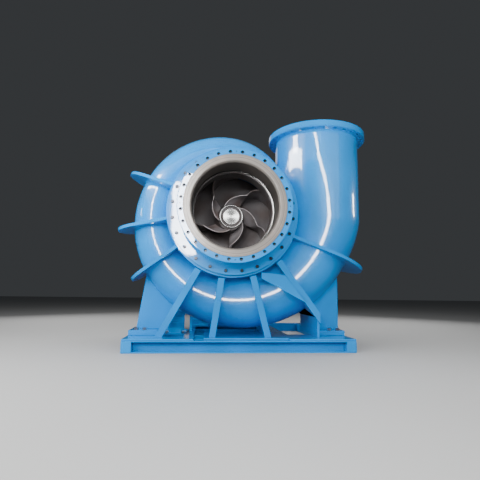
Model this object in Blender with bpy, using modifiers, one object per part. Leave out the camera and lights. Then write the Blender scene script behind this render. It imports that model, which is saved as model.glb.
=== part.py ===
# Dry-installed volute pump on a steel base frame, in metres.
# X to the right as seen from the suction side, Y into the depth, Z up.
# The pump axis lies along Y at X = 0, the volute's middle plane is Y = 0,
# and the underside of the base frame is Z = 0.

import math

import bmesh
import bpy
from mathutils import Matrix, Vector

NAME = "dry_installed_pump"
GAP = 0.0003

# Main heights and the base frame
AXIS_Z = 1.570
BEAM_H = 0.128
BEAM_W = 0.110
BASE_LEFT = -1.174
BASE_RIGHT = 1.395
BASE_FRONT = -0.595
BASE_REAR = 1.900
INNER_LEFT = -0.470
INNER_RIGHT = 0.700
WEB_T = 0.014
FLANGE_T = 0.014
DECK_T = 0.020
DECK_REAR = -0.110
FOOT_T = 0.057
FOOT_HALF_Y = 0.230
CROSS_BEAMS = (("base_cross_legs", -0.415), ("base_cross_front", 0.0),
               ("base_cross_middle", 0.700), ("base_cross_rear", 1.240))
POST_END = 0.095
MIDDLE_DECK_LEFT = -0.300
MIDDLE_DECK_REAR = 0.560

# Scroll: radius of the round section at some angles, counted from +X
# against the clock as seen from the suction side
SCROLL_INNER = 0.600
SCROLL_STATIONS = ((44, 0.163), (90, 0.232), (180, 0.290), (270, 0.372), (330, 0.466), (360, 0.533))
SCROLL_RINGS = 28
SECTION_SIDES = 20
CASING_WALL = 0.034
DRUM_R = 0.700
DRUM_HALF = 0.497
CHAMBER_R = 0.660
MOUTH_R = 0.661
REGISTER_R = 0.655
# The casing's segments between planes through the axis, and where the
# discharge pipe and the start of the scroll are parted from the throat
SEGMENTS = (("volute_upper", 94.8, 151.2), ("volute_left", 151.2, 207.6),
            ("volute_lower_left", 207.6, 264.1), ("volute_lower_right", 264.1, 320.5))
PIPE_LEFT_X = 0.597
PIPE_FOOT_Z = AXIS_Z + 0.030
DISCHARGE_X = 1.133
DISCHARGE_TOP = AXIS_Z + 1.123
DISCHARGE_FLANGE_R = 0.622
DISCHARGE_FLANGE_T = 0.078

# Suction side
SUCTION_FACE = 0.894
BORE_R = 0.465
SUCTION_FLANGE_R = 0.6175
SUCTION_FLANGE_T = 0.055
FACE_RING_R = 0.555
NECK_R = 0.530
FACE_RING_T = 0.003
COVER_R = 0.730
COVER_FACE = 0.5875
COVER_T = 0.045
COVER_SPIGOT = 0.040
COVER_SPIGOT_R = 0.505
NECK_FILLET = 0.030
CASING_FLANGE_R = 0.757
CASING_FLANGE_T = 0.045
LINER_R = 0.482
LINER_END = 0.590
EYE_R = 0.448

# Ribs and legs: angle of the plate and reach of its tip
RIB_T = 0.038
RIBS = (("rib_upper_left", 157.0, 1.364), ("rib_left", 187.5, 1.390),
        ("rib_lower_left", 213.5, 1.425), ("rib_right", 339.0, 1.800))
RIB_CREST = 0.045
RIB_HEEL = 0.035
RIB_ROOT = 0.100
RIB_RIM_STEPS = 14
LEG_T = 0.030
STRIP_W = 0.074
STRIP_T = 0.028
STRIP_SEAT = 0.004
LEG_OVERRUN = 0.100
LEG_TOP_R = 0.766
LEG_TOP_Y = 0.535
LEG_FOOT_Y = 0.390
LEGS = (("leg_1", 240.2, -0.806), ("leg_2", 261.1, -0.208),
        ("leg_3", 287.5, 0.427), ("leg_4", 313.2, 1.196))
LEG_BEND_X = 1.032

# Upright supports and their feet
SUPPORT_T = 0.040
SUPPORT_LEG_Z = 0.620
SUPPORT_LEFT_X = -1.108
SUPPORT_LEFT_TOP = ((-0.790, 1.200), (-0.960, 1.200))
SUPPORT_RIGHT_X = 1.385
SUPPORT_RIGHT_TOP = ((SUPPORT_RIGHT_X, 1.300), (1.150, 1.300))
FOOT_LEFT_X = -1.165
FOOT_RIGHT_X = 1.392
FOOT_LAP = 0.010

STRUT_ANGLE = 294.5
STRUT_W = 0.070
STRUT_T = 0.030
STRUT_SET_BACK = 0.020
STRUT_MEETS = (0.853, 0.539)

# Rotor
IMPELLER_R = 0.600
IMPELLER_STEPS = 32
EYE_FRONT = 0.544
VANE_COUNT = 5
VANE_STEPS = 10
VANE_T = 0.022
VANE_EDGE_R = 0.350
VANE_EDGE_ANGLE = 270
VANE_ROOT_R = 0.120
VANE_BEND = 68
VANE_TAIL = 48
VANE_SWEEP_DEPTH = 0.200
VANE_FRONT = 0.165
VANE_LEVELS = (VANE_FRONT, 0.098, 0.032, VANE_FRONT - VANE_SWEEP_DEPTH)
NUT_R = 0.146
NUT_FACE = 0.224
NUT_DEPTH = 0.050
HUB_BACK = -0.300
SHAFT_R = 0.075
SHAFT_SEAT = 0.0005
SEAL_GAP = 0.006

ROTOR = ("impeller", "impeller_nut", "shaft", "coupling_half")

# Drive end
REAR_COVER_T = 0.060
BRACKET_FOOT_R = 0.420
BRACKET_R = (0.300, 0.270)
BRACKET_BORE = 0.235
BRACKET_END = 1.000
BRACKET_FLOOR = 0.060
WINDOW_HALF = 0.140
WINDOW_X = (0.150, 0.400)
DRIVE_FLANGE_T = 0.035
HOUSING_R = 0.250
HOUSING_FRONT_R = 0.330
HOUSING_REAR_R = 0.290
HOUSING_END = 1.480
END_COVER_R = 0.230
END_COVER_T = 0.045
COUPLING_R = 0.210
COUPLING_HUB_R = 0.120
COUPLING_START = 1.620
COUPLING_STEP = 1.680
COUPLING_END = 1.740
PEDESTAL_LOW = 0.520
PEDESTAL_HIGH = 0.210
PEDESTAL_SADDLE = 0.050
PEDESTAL_T = 0.300
PEDESTAL_FOOT_T = 0.030
PEDESTAL_FOOT_HALF = 0.200
PEDESTAL_FOOT_LAP = 0.060

# Oil unit on a plate across the base: motor, its bracket and a small pump
UNIT_Y = 0.560
UNIT_HALF_Y = 0.170
UNIT_Z = 0.272
UNIT_PLATE_TOP = 0.100
UNIT_PLATE_T = 0.015
MOTOR_R = 0.135
MOTOR_X = (-0.800, -0.555, -0.4855)
MOTOR_FOOT_Y = 0.110
MOTOR_FOOT_INSET = 0.040
UNIT_BRACKET_T = 0.033
UNIT_BRACKET_HALF = 0.130
UNIT_PUMP_R = 0.045
UNIT_PUMP_X = (-0.370, -0.230)
UNIT_PUMP_DROP = 0.045
UNIT_TIE_R = 0.012
UNIT_TIE_OFFSET = 0.022

PARTS = bpy.data.collections.new(NAME)
CUTTERS = bpy.data.collections.new(NAME + "_cutters")


def clear_scene():
    for item in list(bpy.data.objects):
        bpy.data.objects.remove(item, do_unlink=True)
    for group in (PARTS, CUTTERS):
        bpy.context.scene.collection.children.link(group)


def material(name, colour, roughness, metallic):
    found = bpy.data.materials.get(name)
    if found:
        return found
    made = bpy.data.materials.new(name)
    made.use_nodes = True
    shader = made.node_tree.nodes["Principled BSDF"]
    shader.inputs["Base Color"].default_value = (*colour, 1.0)
    shader.inputs["Roughness"].default_value = roughness
    shader.inputs["Metallic"].default_value = metallic
    return made


def paint():
    return material("blue_paint", (0.03, 0.29, 0.62), 0.25, 0.0)


def machined():
    return material("machined_iron", (0.45, 0.42, 0.39), 0.35, 1.0)


def polished():
    return material("polished_steel", (0.80, 0.80, 0.80), 0.15, 1.0)


def dark_iron():
    return material("dark_iron", (0.035, 0.030, 0.028), 0.45, 0.4)


def grey_shield():
    return material("motor_grey", (0.42, 0.40, 0.38), 0.5, 0.3)


def add_mesh(name, mesh, finish, group=None):
    item = bpy.data.objects.new(name, mesh)
    (group or PARTS).objects.link(item)
    if finish:
        mesh.materials.clear()
        mesh.materials.append(finish)
    return item


def from_bmesh(name, bm, finish, group=None):
    mesh = bpy.data.meshes.new(name)
    bmesh.ops.recalc_face_normals(bm, faces=bm.faces)
    bm.to_mesh(mesh)
    bm.free()
    return add_mesh(name, mesh, finish, group)


def smooth(item, angle=35):
    item.data.shade_smooth()
    item.data.set_sharp_from_angle(angle=math.radians(angle))
    return item


def box(name, low, high, finish, group=None):
    low = Vector(low)
    high = Vector(high)
    bm = bmesh.new()
    place = Matrix.Translation((low + high) / 2) @ Matrix.Diagonal((*(high - low), 1.0))
    bmesh.ops.create_cube(bm, size=1.0, matrix=place)
    return from_bmesh(name, bm, finish, group)


def rod(name, start, end, radius, finish, sides=32, group=None):
    start = Vector(start)
    end = Vector(end)
    axis = end - start
    turn = Vector((0, 0, 1)).rotation_difference(axis).to_matrix().to_4x4()
    bm = bmesh.new()
    bmesh.ops.create_cone(bm, cap_ends=True, segments=sides, radius1=radius, radius2=radius,
                          depth=axis.length, matrix=Matrix.Translation((start + end) / 2) @ turn)
    return smooth(from_bmesh(name, bm, finish, group))


# Turns a closed profile of (radius, distance towards the suction side)
# points about the pump axis. The outer side is listed front to back, and a
# solid one starts and ends on the axis.
def turned(name, profile, finish, steps=48, group=None):
    mesh = bpy.data.meshes.new(name)
    edges = [(i, i + 1) for i in range(len(profile) - 1)]
    if profile[0][0] > 0:
        edges.append((len(profile) - 1, 0))
    mesh.from_pydata([(radius, 0.0, ahead) for radius, ahead in profile], edges, [])
    item = add_mesh(name, mesh, finish, group)
    item.location = (0, 0, AXIS_Z)
    item.rotation_euler = (math.radians(90), 0, 0)
    screw = item.modifiers.new("turn", "SCREW")
    screw.axis = "Z"
    screw.angle = math.radians(360)
    screw.steps = steps
    screw.render_steps = steps
    screw.use_merge_vertices = True
    screw.merge_threshold = 0.0001
    return settle(item)


# Replaces an object by the mesh that its modifiers or curve give, in place
def settle(item, weld=0.00005):
    bpy.context.view_layer.update()
    graph = bpy.context.evaluated_depsgraph_get()
    mesh = bpy.data.meshes.new_from_object(item.evaluated_get(graph))
    mesh.transform(item.matrix_world)
    bm = bmesh.new()
    bm.from_mesh(mesh)
    if weld:
        bmesh.ops.remove_doubles(bm, verts=bm.verts, dist=weld)
        bmesh.ops.recalc_face_normals(bm, faces=bm.faces)
    bm.to_mesh(mesh)
    bm.free()
    name = item.name
    group = item.users_collection[0]
    bpy.data.objects.remove(item, do_unlink=True)
    made = bpy.data.objects.new(name, mesh)
    made.name = name
    group.objects.link(made)
    return smooth(made)


def set_aside(item):
    item.hide_render = True
    item.display_type = "WIRE"


# A crossing join or cut also allows for a shape that runs into itself
def combine(item, other, operation, crossing=False):
    set_aside(other)
    step = item.modifiers.new(operation.lower(), "BOOLEAN")
    step.operation = operation
    step.object = other
    step.solver = "EXACT"
    step.use_self = crossing
    return settle(item, 0)


def cut(item, other, crossing=False):
    return combine(item, other, "DIFFERENCE", crossing)


# A flat outline in a plane, extruded to both sides by half its thickness.
# The plane is given by its origin and two unit directions.
def plate(name, outline, origin, across, up, thickness, finish, group=None):
    curve = bpy.data.curves.new(name, "CURVE")
    curve.dimensions = "2D"
    curve.fill_mode = "BOTH"
    curve.extrude = thickness / 2
    spline = curve.splines.new("POLY")
    spline.points.add(len(outline) - 1)
    for point, (first, second) in zip(spline.points, outline):
        point.co = (first, second, 0.0, 1.0)
    spline.use_cyclic_u = True
    item = bpy.data.objects.new(name, curve)
    (group or PARTS).objects.link(item)
    if finish:
        curve.materials.append(finish)
    across = Vector(across).normalized()
    up = Vector(up).normalized()
    turn = Matrix((across, up, across.cross(up))).transposed().to_4x4()
    item.matrix_world = Matrix.Translation(origin) @ turn
    return settle(item)


# Radius of the scroll's round section at an angle in degrees, by a smooth
# curve through the stations
def section_radius(angle):
    stations = SCROLL_STATIONS
    slopes = []
    for i in range(len(stations)):
        before = stations[max(i - 1, 0)]
        after = stations[min(i + 1, len(stations) - 1)]
        slopes.append((after[1] - before[1]) / (after[0] - before[0]))
    for i in range(len(stations) - 1):
        (a0, r0), (a1, r1) = stations[i], stations[i + 1]
        if angle <= a1:
            break
    span = a1 - a0
    t = (angle - a0) / span
    blend_0 = 2 * t ** 3 - 3 * t ** 2 + 1
    blend_1 = t ** 3 - 2 * t ** 2 + t
    blend_2 = -2 * t ** 3 + 3 * t ** 2
    blend_3 = t ** 3 - t ** 2
    return (blend_0 * r0 + blend_1 * span * slopes[i] + blend_2 * r1 + blend_3 * span * slopes[i + 1])


def polar(angle, radius):
    turn = math.radians(angle)
    return radius * math.cos(turn), AXIS_Z + radius * math.sin(turn)


# Tube along the scroll and up the discharge, grown or shrunk by an amount
def scroll_tube(name, grow, top):
    points = []
    start = SCROLL_STATIONS[0][0]
    for i in range(SCROLL_RINGS + 1):
        angle = start + (360 - start) * i / SCROLL_RINGS
        radius = section_radius(angle)
        x, z = polar(angle, SCROLL_INNER + radius)
        points.append((x, z - AXIS_Z, radius + grow))
    pipe_r = section_radius(360) + grow
    for height in (0.25, 0.55, 0.85, top - AXIS_Z):
        points.append((DISCHARGE_X, height, pipe_r))
    curve = bpy.data.curves.new(name, "CURVE")
    curve.dimensions = "3D"
    curve.twist_mode = "Z_UP"
    curve.bevel_depth = 1.0
    curve.bevel_resolution = (SECTION_SIDES - 4) // 2
    curve.use_fill_caps = True
    spline = curve.splines.new("POLY")
    spline.points.add(len(points) - 1)
    for point, (x, up, radius) in zip(spline.points, points):
        point.co = (x, up, 0.0, 1.0)
        point.radius = radius
    item = bpy.data.objects.new(name, curve)
    item.location = (0, 0, AXIS_Z)
    item.rotation_euler = (math.radians(90), 0, 0)
    CUTTERS.objects.link(item)
    item = settle(item)
    # The same diagonals at every growth, so that nested tubes stay parallel
    bm = bmesh.new()
    bm.from_mesh(item.data)
    bmesh.ops.triangulate(bm, faces=bm.faces, quad_method="FIXED", ngon_method="EAR_CLIP")
    bm.to_mesh(item.data)
    bm.free()
    return item


# Outer solid of the casing: scroll, discharge pipe and the drum round the
# impeller. It is also the tool that trims ribs, legs and supports.
def casing_solid(name, grow):
    top = DISCHARGE_TOP - DISCHARGE_FLANGE_T - GAP + grow
    tube = scroll_tube(name, grow, top)
    radius = DRUM_R + grow
    half = DRUM_HALF + grow
    drum = turned(name + "_drum", [(0, half), (radius, half), (radius, -half), (0, -half)],
                  None, 48, CUTTERS)
    return combine(tube, drum, "UNION", True)


def make_casing():
    body = casing_solid("casing_outer", 0.0)
    hollow = scroll_tube("casing_hollow", -CASING_WALL, DISCHARGE_TOP + 0.1)
    reach = DRUM_HALF - CASING_WALL
    chamber = turned("chamber", [(0, reach), (CHAMBER_R, reach), (CHAMBER_R, -reach), (0, -reach)],
                     None, 48, CUTTERS)
    hollow = combine(hollow, chamber, "UNION", True)
    body = cut(body, hollow)
    mouth = rod("mouth", (0, -COVER_FACE, AXIS_Z), (0, COVER_FACE, AXIS_Z), MOUTH_R, None, 48, CUTTERS)
    body = cut(body, mouth)
    set_aside(body)
    for name, planes in segment_planes():
        bm = bmesh.new()
        bm.from_mesh(body.data)
        for point, normal in planes:
            part_at(bm, point, normal)
        smooth(from_bmesh(name, bm, paint()))


# Cuts a solid by a plane, drops what lies ahead of it and closes the cut
def part_at(bm, point, normal):
    parts = bm.verts[:] + bm.edges[:] + bm.faces[:]
    made = bmesh.ops.bisect_plane(bm, geom=parts, dist=0.00001, plane_co=point, plane_no=normal,
                                  clear_outer=True)
    rim = [edge for edge in made["geom_cut"] if isinstance(edge, bmesh.types.BMEdge)]
    bmesh.ops.triangle_fill(bm, use_beauty=True, edges=rim)


# The planes that bound each segment, set back from its neighbours by half a
# gap; a plane's direction points out of the segment
def segment_planes():
    half = GAP / 2
    axis = Vector((0, 0, AXIS_Z))
    found = []
    for name, first, last in SEGMENTS:
        start = heading(first)
        end = heading(last)
        found.append((name, [(axis + start * half, -start), (axis - end * half, end)]))
    right = Vector((1, 0, 0))
    up = Vector((0, 0, 1))
    top_end = heading(SEGMENTS[0][1])
    throat = heading(SEGMENTS[-1][2])
    pipe_side = Vector((PIPE_LEFT_X, 0, 0))
    pipe_foot = Vector((0, 0, PIPE_FOOT_Z))
    found.append(("volute_start", [(axis - top_end * half, top_end), (pipe_side - right * half, right),
                                   (pipe_foot, -up)]))
    found.append(("discharge_pipe", [(pipe_side + right * half, -right), (pipe_foot + up * half, -up)]))
    found.append(("volute_throat", [(axis + throat * half, -throat), (pipe_foot - up * half, up)]))
    return found


# Direction of the scroll's sweep at an angle
def heading(angle):
    turn = math.radians(angle)
    return Vector((-math.sin(turn), 0, math.cos(turn)))


def ring(name, outer, inner, front, back, finish):
    return turned(name, [(inner, front), (outer, front), (outer, back), (inner, back)], finish)


def make_discharge_flange():
    low = DISCHARGE_TOP - DISCHARGE_FLANGE_T
    flange = rod("discharge_flange", (DISCHARGE_X, 0, low), (DISCHARGE_X, 0, DISCHARGE_TOP),
                 DISCHARGE_FLANGE_R, paint(), 48)
    bore = rod("discharge_bore", (DISCHARGE_X, 0, low - 0.1), (DISCHARGE_X, 0, DISCHARGE_TOP + 0.1),
               section_radius(360) - CASING_WALL, None, 48, CUTTERS)
    cut(flange, bore)


def make_suction_side():
    flange_back = SUCTION_FACE - SUCTION_FLANGE_T
    rim_face = SUCTION_FACE - FACE_RING_T
    ring("suction_flange", SUCTION_FLANGE_R, LINER_R + GAP, rim_face, flange_back, paint())
    cover_back = COVER_FACE - COVER_T
    turned("suction_cover", [
        (LINER_R + GAP, flange_back - GAP), (NECK_R, flange_back - GAP), (NECK_R, COVER_FACE + NECK_FILLET),
        (NECK_R + NECK_FILLET, COVER_FACE), (COVER_R, COVER_FACE), (COVER_R, cover_back),
        (REGISTER_R, cover_back), (REGISTER_R, cover_back - COVER_SPIGOT),
        (COVER_SPIGOT_R, cover_back - COVER_SPIGOT), (COVER_SPIGOT_R, LINER_END - 0.01),
        (LINER_R + GAP, LINER_END - 0.01),
    ], paint())
    ring("casing_front_flange", CASING_FLANGE_R, DRUM_R + GAP, cover_back - GAP,
         cover_back - CASING_FLANGE_T, paint())
    turned("suction_face_ring", [
        (BORE_R, SUCTION_FACE - 0.035), (BORE_R + 0.004, SUCTION_FACE - 0.014),
        (BORE_R + 0.014, SUCTION_FACE - 0.003), (BORE_R + 0.025, SUCTION_FACE),
        (FACE_RING_R, SUCTION_FACE), (FACE_RING_R, rim_face + GAP), (LINER_R, rim_face + GAP),
        (LINER_R, LINER_END), (BORE_R, LINER_END),
    ], machined())
    ring("wear_ring", COVER_SPIGOT_R - 0.0005, EYE_R + 0.004, LINER_END - 0.0105, LINER_END - 0.040,
         polished())
    ring("casing_rear_flange", CASING_FLANGE_R, DRUM_R + GAP, -(cover_back - CASING_FLANGE_T),
         -(cover_back - GAP), paint())


# Rib outline in its own plane: (radius from the pump axis, depth). It butts
# on the rims of the casing flanges, and its round rim is set off outwards.
def rib_outline(section, tip):
    crest = section + RIB_CREST
    reach = tip - (SCROLL_INNER + section)
    near = crest ** 2 / reach
    rim = (reach + near) / 2
    centre = tip - rim
    butt = Vector((CASING_FLANGE_R + GAP, DRUM_HALF + RIB_HEEL))
    away = butt - Vector((centre, 0))
    touch = math.atan2(away.y, away.x) - math.acos(rim / away.length)
    half = [(DRUM_R - RIB_ROOT, DRUM_HALF - 0.003), (butt.x, DRUM_HALF - 0.003), (butt.x, butt.y)]
    rounded = []
    for i in range(RIB_RIM_STEPS + 1):
        turn = touch - 2 * touch * i / RIB_RIM_STEPS
        rounded.append((centre + rim * math.cos(turn), rim * math.sin(turn)))
    return half + rounded + [(radius, -depth) for radius, depth in reversed(half)]


def make_ribs(trim):
    for name, angle, tip in RIBS:
        outline = rib_outline(section_radius(angle), tip)
        turn = math.radians(angle)
        outward = (math.cos(turn), 0, math.sin(turn))
        rib = plate(name, outline, (0, 0, AXIS_Z), outward, (0, 1, 0), RIB_T, paint())
        cut(rib, trim, True)


# A leg is a radial web under the scroll, as deep as the casing, with a flat
# strip along its front edge from the casing flange down to the base
def make_legs(trim):
    foot_z = BEAM_H + DECK_T + GAP
    for name, angle, foot_x in LEGS:
        top_x, top_z = polar(angle, LEG_TOP_R)
        top = Vector((top_x, -LEG_TOP_Y, top_z))
        foot = Vector((foot_x, -LEG_FOOT_Y, foot_z))
        down = Vector((foot.x - top.x, 0, foot.z - top.z))
        length = down.length
        down.normalize()
        side = Vector((0, 1, 0)).cross(down)
        reach = length + LEG_OVERRUN
        web = plate(name, [(0, -LEG_TOP_Y), (reach, -leg_depth(reach, length)),
                           (reach, LEG_FOOT_Y), (0, DRUM_HALF - 0.003)],
                    (top_x, 0, top_z), down, (0, 1, 0), LEG_T, paint())
        strip = leg_strip(name + "_strip", top, down, side, length)
        web = combine(web, strip, "UNION")
        web = cut(web, trim)
        if name == LEGS[-1][0]:
            web = stand_upright(web)
        floor = box(name + "_floor", (-3, -1.5, foot_z - 1), (3, 1.5, foot_z), None, CUTTERS)
        cut(web, floor)


# The last leg stops beside the right support and stands on an upright plate
def stand_upright(web):
    end = box("leg_end", (LEG_BEND_X, -1, 0), (LEG_BEND_X + 1, 1, 1), None, CUTTERS)
    web = cut(web, end)
    angle, foot_x = LEGS[-1][1:]
    top_x, top_z = polar(angle, LEG_TOP_R)
    foot_z = BEAM_H + DECK_T
    run = (foot_x - top_x) / (top_z - foot_z)
    meets = foot_z + (foot_x - LEG_BEND_X + LEG_T / 2) / run
    upright = box("leg_upright", (LEG_BEND_X - LEG_T, -LEG_FOOT_Y - 0.016, 0),
                  (LEG_BEND_X - 0.001, LEG_FOOT_Y, meets), None, CUTTERS)
    return combine(web, upright, "UNION")


def leg_depth(along, length):
    return LEG_TOP_Y + (LEG_FOOT_Y - LEG_TOP_Y) * along / length


def leg_strip(name, top, down, side, length):
    lean = Vector((0, LEG_TOP_Y - LEG_FOOT_Y, 0)) / length
    along = (down + lean).normalized()
    reach = length * (down + lean).length + LEG_OVERRUN
    outward = along.cross(side).normalized()
    if outward.y > 0:
        outward = -outward
    bm = bmesh.new()
    turn = Matrix((along, side, along.cross(side))).transposed().to_4x4()
    centre = top + along * reach / 2 + outward * (STRIP_T / 2 - STRIP_SEAT)
    bmesh.ops.create_cube(bm, size=1.0, matrix=Matrix.Translation(centre) @ turn
                          @ Matrix.Diagonal((reach, STRIP_W, STRIP_T, 1.0)))
    return from_bmesh(name, bm, paint(), CUTTERS)


# A flat brace from beside the casing flange, along the edge of the last leg
def make_strut():
    top = Vector(polar(LEGS[-1][1], LEG_TOP_R))
    foot = Vector((LEGS[-1][2], BEAM_H + DECK_T))
    down = (foot - top).normalized()
    facing = Vector((down.y, -down.x))
    edge = top + facing * (STRIP_W / 2 + GAP)
    upper, lower = [edge + down * ((height - edge.y) / down.y) for height in STRUT_MEETS]
    start = Vector(polar(STRUT_ANGLE, CASING_FLANGE_R + 0.004 + STRUT_W / 2))
    along = (upper - start).normalized()
    side = Vector((-along.y, along.x)) * STRUT_W / 2
    outline = [start + side, start - side, lower, upper]
    plate("leg_strut", [(p.x, p.y) for p in outline], (0, STRUT_SET_BACK - LEG_TOP_Y, 0),
          (1, 0, 0), (0, 0, 1), STRUT_T, paint())


# X of a leg's web beside the given side at a height
def beside_leg(leg, side, height):
    angle, foot_x = leg[1:]
    top_x, top_z = polar(angle, LEG_TOP_R)
    foot_z = BEAM_H + DECK_T
    run = (foot_x - top_x) / (top_z - foot_z)
    aside = (LEG_T / 2 + GAP) * math.hypot(1, run)
    return top_x + run * (top_z - height) + side * aside


# The two upright plates under the scroll's middle plane, with their feet.
# Each reaches from the frame's edge to the web of the leg beside it.
def make_supports(trim):
    foot_low = BEAM_H + DECK_T + GAP
    foot_top = foot_low + FOOT_T
    low = foot_top + GAP
    high = SUPPORT_LEG_Z
    first = LEGS[0]
    last = LEGS[-1]
    left = plate("support_left", [
        (SUPPORT_LEFT_X, low), (beside_leg(first, -1, low), low), (beside_leg(first, -1, high), high),
        *SUPPORT_LEFT_TOP,
    ], (0, 0, 0), (1, 0, 0), (0, 0, 1), SUPPORT_T, paint())
    cut(left, trim)
    edge = LEG_BEND_X + GAP
    right = plate("support_right", [
        (edge, low), (SUPPORT_RIGHT_X, low), *SUPPORT_RIGHT_TOP,
        (beside_leg(last, 1, high), high), (beside_leg(last, 1, 0.42), 0.42), (edge, 0.40),
    ], (0, 0, 0), (1, 0, 0), (0, 0, 1), SUPPORT_T, paint())
    cut(right, trim)
    left_end = beside_leg(first, -1, foot_low) - FOOT_LAP
    right_end = edge + FOOT_LAP
    for name, x0, x1 in (("foot_left", FOOT_LEFT_X, left_end), ("foot_right", right_end, FOOT_RIGHT_X)):
        box(name, (x0, -FOOT_HALF_Y, foot_low), (x1, FOOT_HALF_Y, foot_top), paint())


# Channel beam: a box with its long outer side hollowed between two flanges.
# A side beam is closed at both ends, where the corners of the frame are.
def channel(name, low, high, open_side, closed_end=0.0):
    beam = box(name, low, high, paint())
    low = Vector(low)
    high = Vector(high)
    clear = 0.01
    pocket_low = Vector((low.x - clear, low.y - clear, low.z + FLANGE_T))
    pocket_high = Vector((high.x + clear, high.y + clear, high.z - FLANGE_T))
    if closed_end:
        pocket_low.y = low.y + closed_end
        pocket_high.y = high.y - closed_end
    if open_side == "-Y":
        pocket_high.y = high.y - WEB_T
    elif open_side == "+Y":
        pocket_low.y = low.y + WEB_T
    elif open_side == "-X":
        pocket_high.x = high.x - WEB_T
    else:
        pocket_low.x = low.x + WEB_T
    return cut(beam, box(name + "_pocket", pocket_low, pocket_high, None, CUTTERS))


def make_base():
    front_back = BASE_FRONT + BEAM_W
    rear_front = BASE_REAR - BEAM_W
    left_in = BASE_LEFT + BEAM_W
    right_in = BASE_RIGHT - BEAM_W
    half = BEAM_W / 2
    channel("base_front_beam", (left_in + GAP, BASE_FRONT, 0), (right_in - GAP, front_back, BEAM_H), "-Y")
    channel("base_rear_beam", (left_in + GAP, rear_front, 0), (right_in - GAP, BASE_REAR, BEAM_H), "+Y")
    channel("base_left_beam", (BASE_LEFT, BASE_FRONT, 0), (left_in, BASE_REAR, BEAM_H), "-X", POST_END)
    channel("base_right_beam", (right_in, BASE_FRONT, 0), (BASE_RIGHT, BASE_REAR, BEAM_H), "+X", POST_END)
    for name, x in (("base_inner_left", INNER_LEFT), ("base_inner_right", INNER_RIGHT)):
        low = (x - half, front_back + GAP, 0)
        high = (x + half, rear_front - GAP, BEAM_H)
        channel(name, low, high, "+X" if x < 0 else "-X")
    for name, y in CROSS_BEAMS:
        low = (INNER_LEFT + half + GAP, y - half, 0)
        high = (INNER_RIGHT - half - GAP, y + half, BEAM_H)
        channel(name, low, high, "+Y")
    deck_low = BEAM_H + GAP
    deck_high = BEAM_H + DECK_T
    deck_front = BASE_FRONT + 0.012
    box("deck_left", (BASE_LEFT, deck_front, deck_low), (INNER_LEFT + half, DECK_REAR, deck_high), paint())
    box("deck_right", (INNER_RIGHT - half, deck_front, deck_low), (BASE_RIGHT, DECK_REAR, deck_high), paint())
    box("deck_middle", (MIDDLE_DECK_LEFT, front_back + GAP, deck_low),
        (INNER_RIGHT - half - GAP, MIDDLE_DECK_REAR, deck_high), paint())


# Angle of a vane's middle surface at a radius and a height along the axis, in
# degrees. The inlet edge sweeps round the hub, the sweep fades with depth, and
# from the edge radius out to the rim the vane bends the other way.
def vane_angle(radius, height):
    if radius < VANE_EDGE_R:
        inward = (VANE_EDGE_R - radius) / 0.200
        fade = min(1.0, max(0.0, (VANE_FRONT - height) / VANE_SWEEP_DEPTH))
        return VANE_BEND * inward ** 1.25 * (1 - fade)
    outward = (radius - VANE_EDGE_R) / (IMPELLER_R - VANE_EDGE_R)
    return -VANE_TAIL * outward ** 2


# A straight vane as seen along the axis, half its thickness to each side
def vane_outline():
    tip = IMPELLER_R - 0.004
    count = VANE_STEPS
    line = [VANE_ROOT_R + (tip - VANE_ROOT_R) * i / count for i in range(count + 1)]
    return [(radius, VANE_T / 2) for radius in line] + [(radius, -VANE_T / 2) for radius in line[::-1]]


# Bends a straight vane round the axis
def bend_vane(vane):
    bm = bmesh.new()
    bm.from_mesh(vane.data)
    for height in VANE_LEVELS:
        parts = bm.verts[:] + bm.edges[:] + bm.faces[:]
        bmesh.ops.bisect_plane(bm, geom=parts, plane_co=(0, -height, 0), plane_no=(0, 1, 0))
    for vert in bm.verts:
        centre = Vector((0, vert.co.y, AXIS_Z))
        out = vert.co - centre
        turn = math.radians(vane_angle(out.length, -vert.co.y))
        vert.co = centre + Matrix.Rotation(-turn, 3, "Y") @ out
    bmesh.ops.triangulate(bm, faces=bm.faces)
    bm.to_mesh(vane.data)
    bm.free()


# The impeller: front shroud with its eye ring, back shroud with the hub,
# and swept vanes between them
def make_impeller():
    front = turned("front_shroud", [
        (EYE_R, EYE_FRONT), (EYE_R + 0.028, EYE_FRONT), (EYE_R + 0.030, 0.36),
        (EYE_R + 0.060, 0.24), (IMPELLER_R, 0.19), (IMPELLER_R, 0.168),
        (EYE_R + 0.050, 0.21), (EYE_R + 0.006, 0.34), (EYE_R, 0.42),
    ], dark_iron(), IMPELLER_STEPS, CUTTERS)
    hub_front = NUT_FACE - NUT_DEPTH
    body = turned("impeller", [
        (0, hub_front), (NUT_R - 0.004, hub_front), (NUT_R + 0.006, hub_front - 0.03),
        (0.175, 0.02), (0.230, -0.100), (0.330, -0.160), (IMPELLER_R, -0.180),
        (IMPELLER_R, -0.205), (0.160, -0.205), (0.160, HUB_BACK), (0, HUB_BACK),
    ], dark_iron(), IMPELLER_STEPS)
    passage = turned("passage", [
        (0.10, 0.150), (NUT_R + 0.008, VANE_FRONT), (VANE_EDGE_R, VANE_FRONT), (EYE_R + 0.030, 0.30),
        (EYE_R + 0.056, 0.222), (IMPELLER_R - 0.001, 0.182), (IMPELLER_R - 0.001, -0.190), (0.10, -0.190),
    ], None, IMPELLER_STEPS, CUTTERS)
    outline = vane_outline()
    for i in range(VANE_COUNT):
        turn = math.radians(VANE_EDGE_ANGLE + 360 / VANE_COUNT * i)
        across = Vector((math.cos(turn), 0, math.sin(turn)))
        up = Vector((-math.sin(turn), 0, math.cos(turn)))
        vane = plate("vane", outline, (0, 0, AXIS_Z), across, up, 0.9, None, CUTTERS)
        bend_vane(vane)
        vane = combine(vane, passage, "INTERSECT")
        body = combine(body, vane, "UNION")
    combine(body, front, "UNION")


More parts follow.
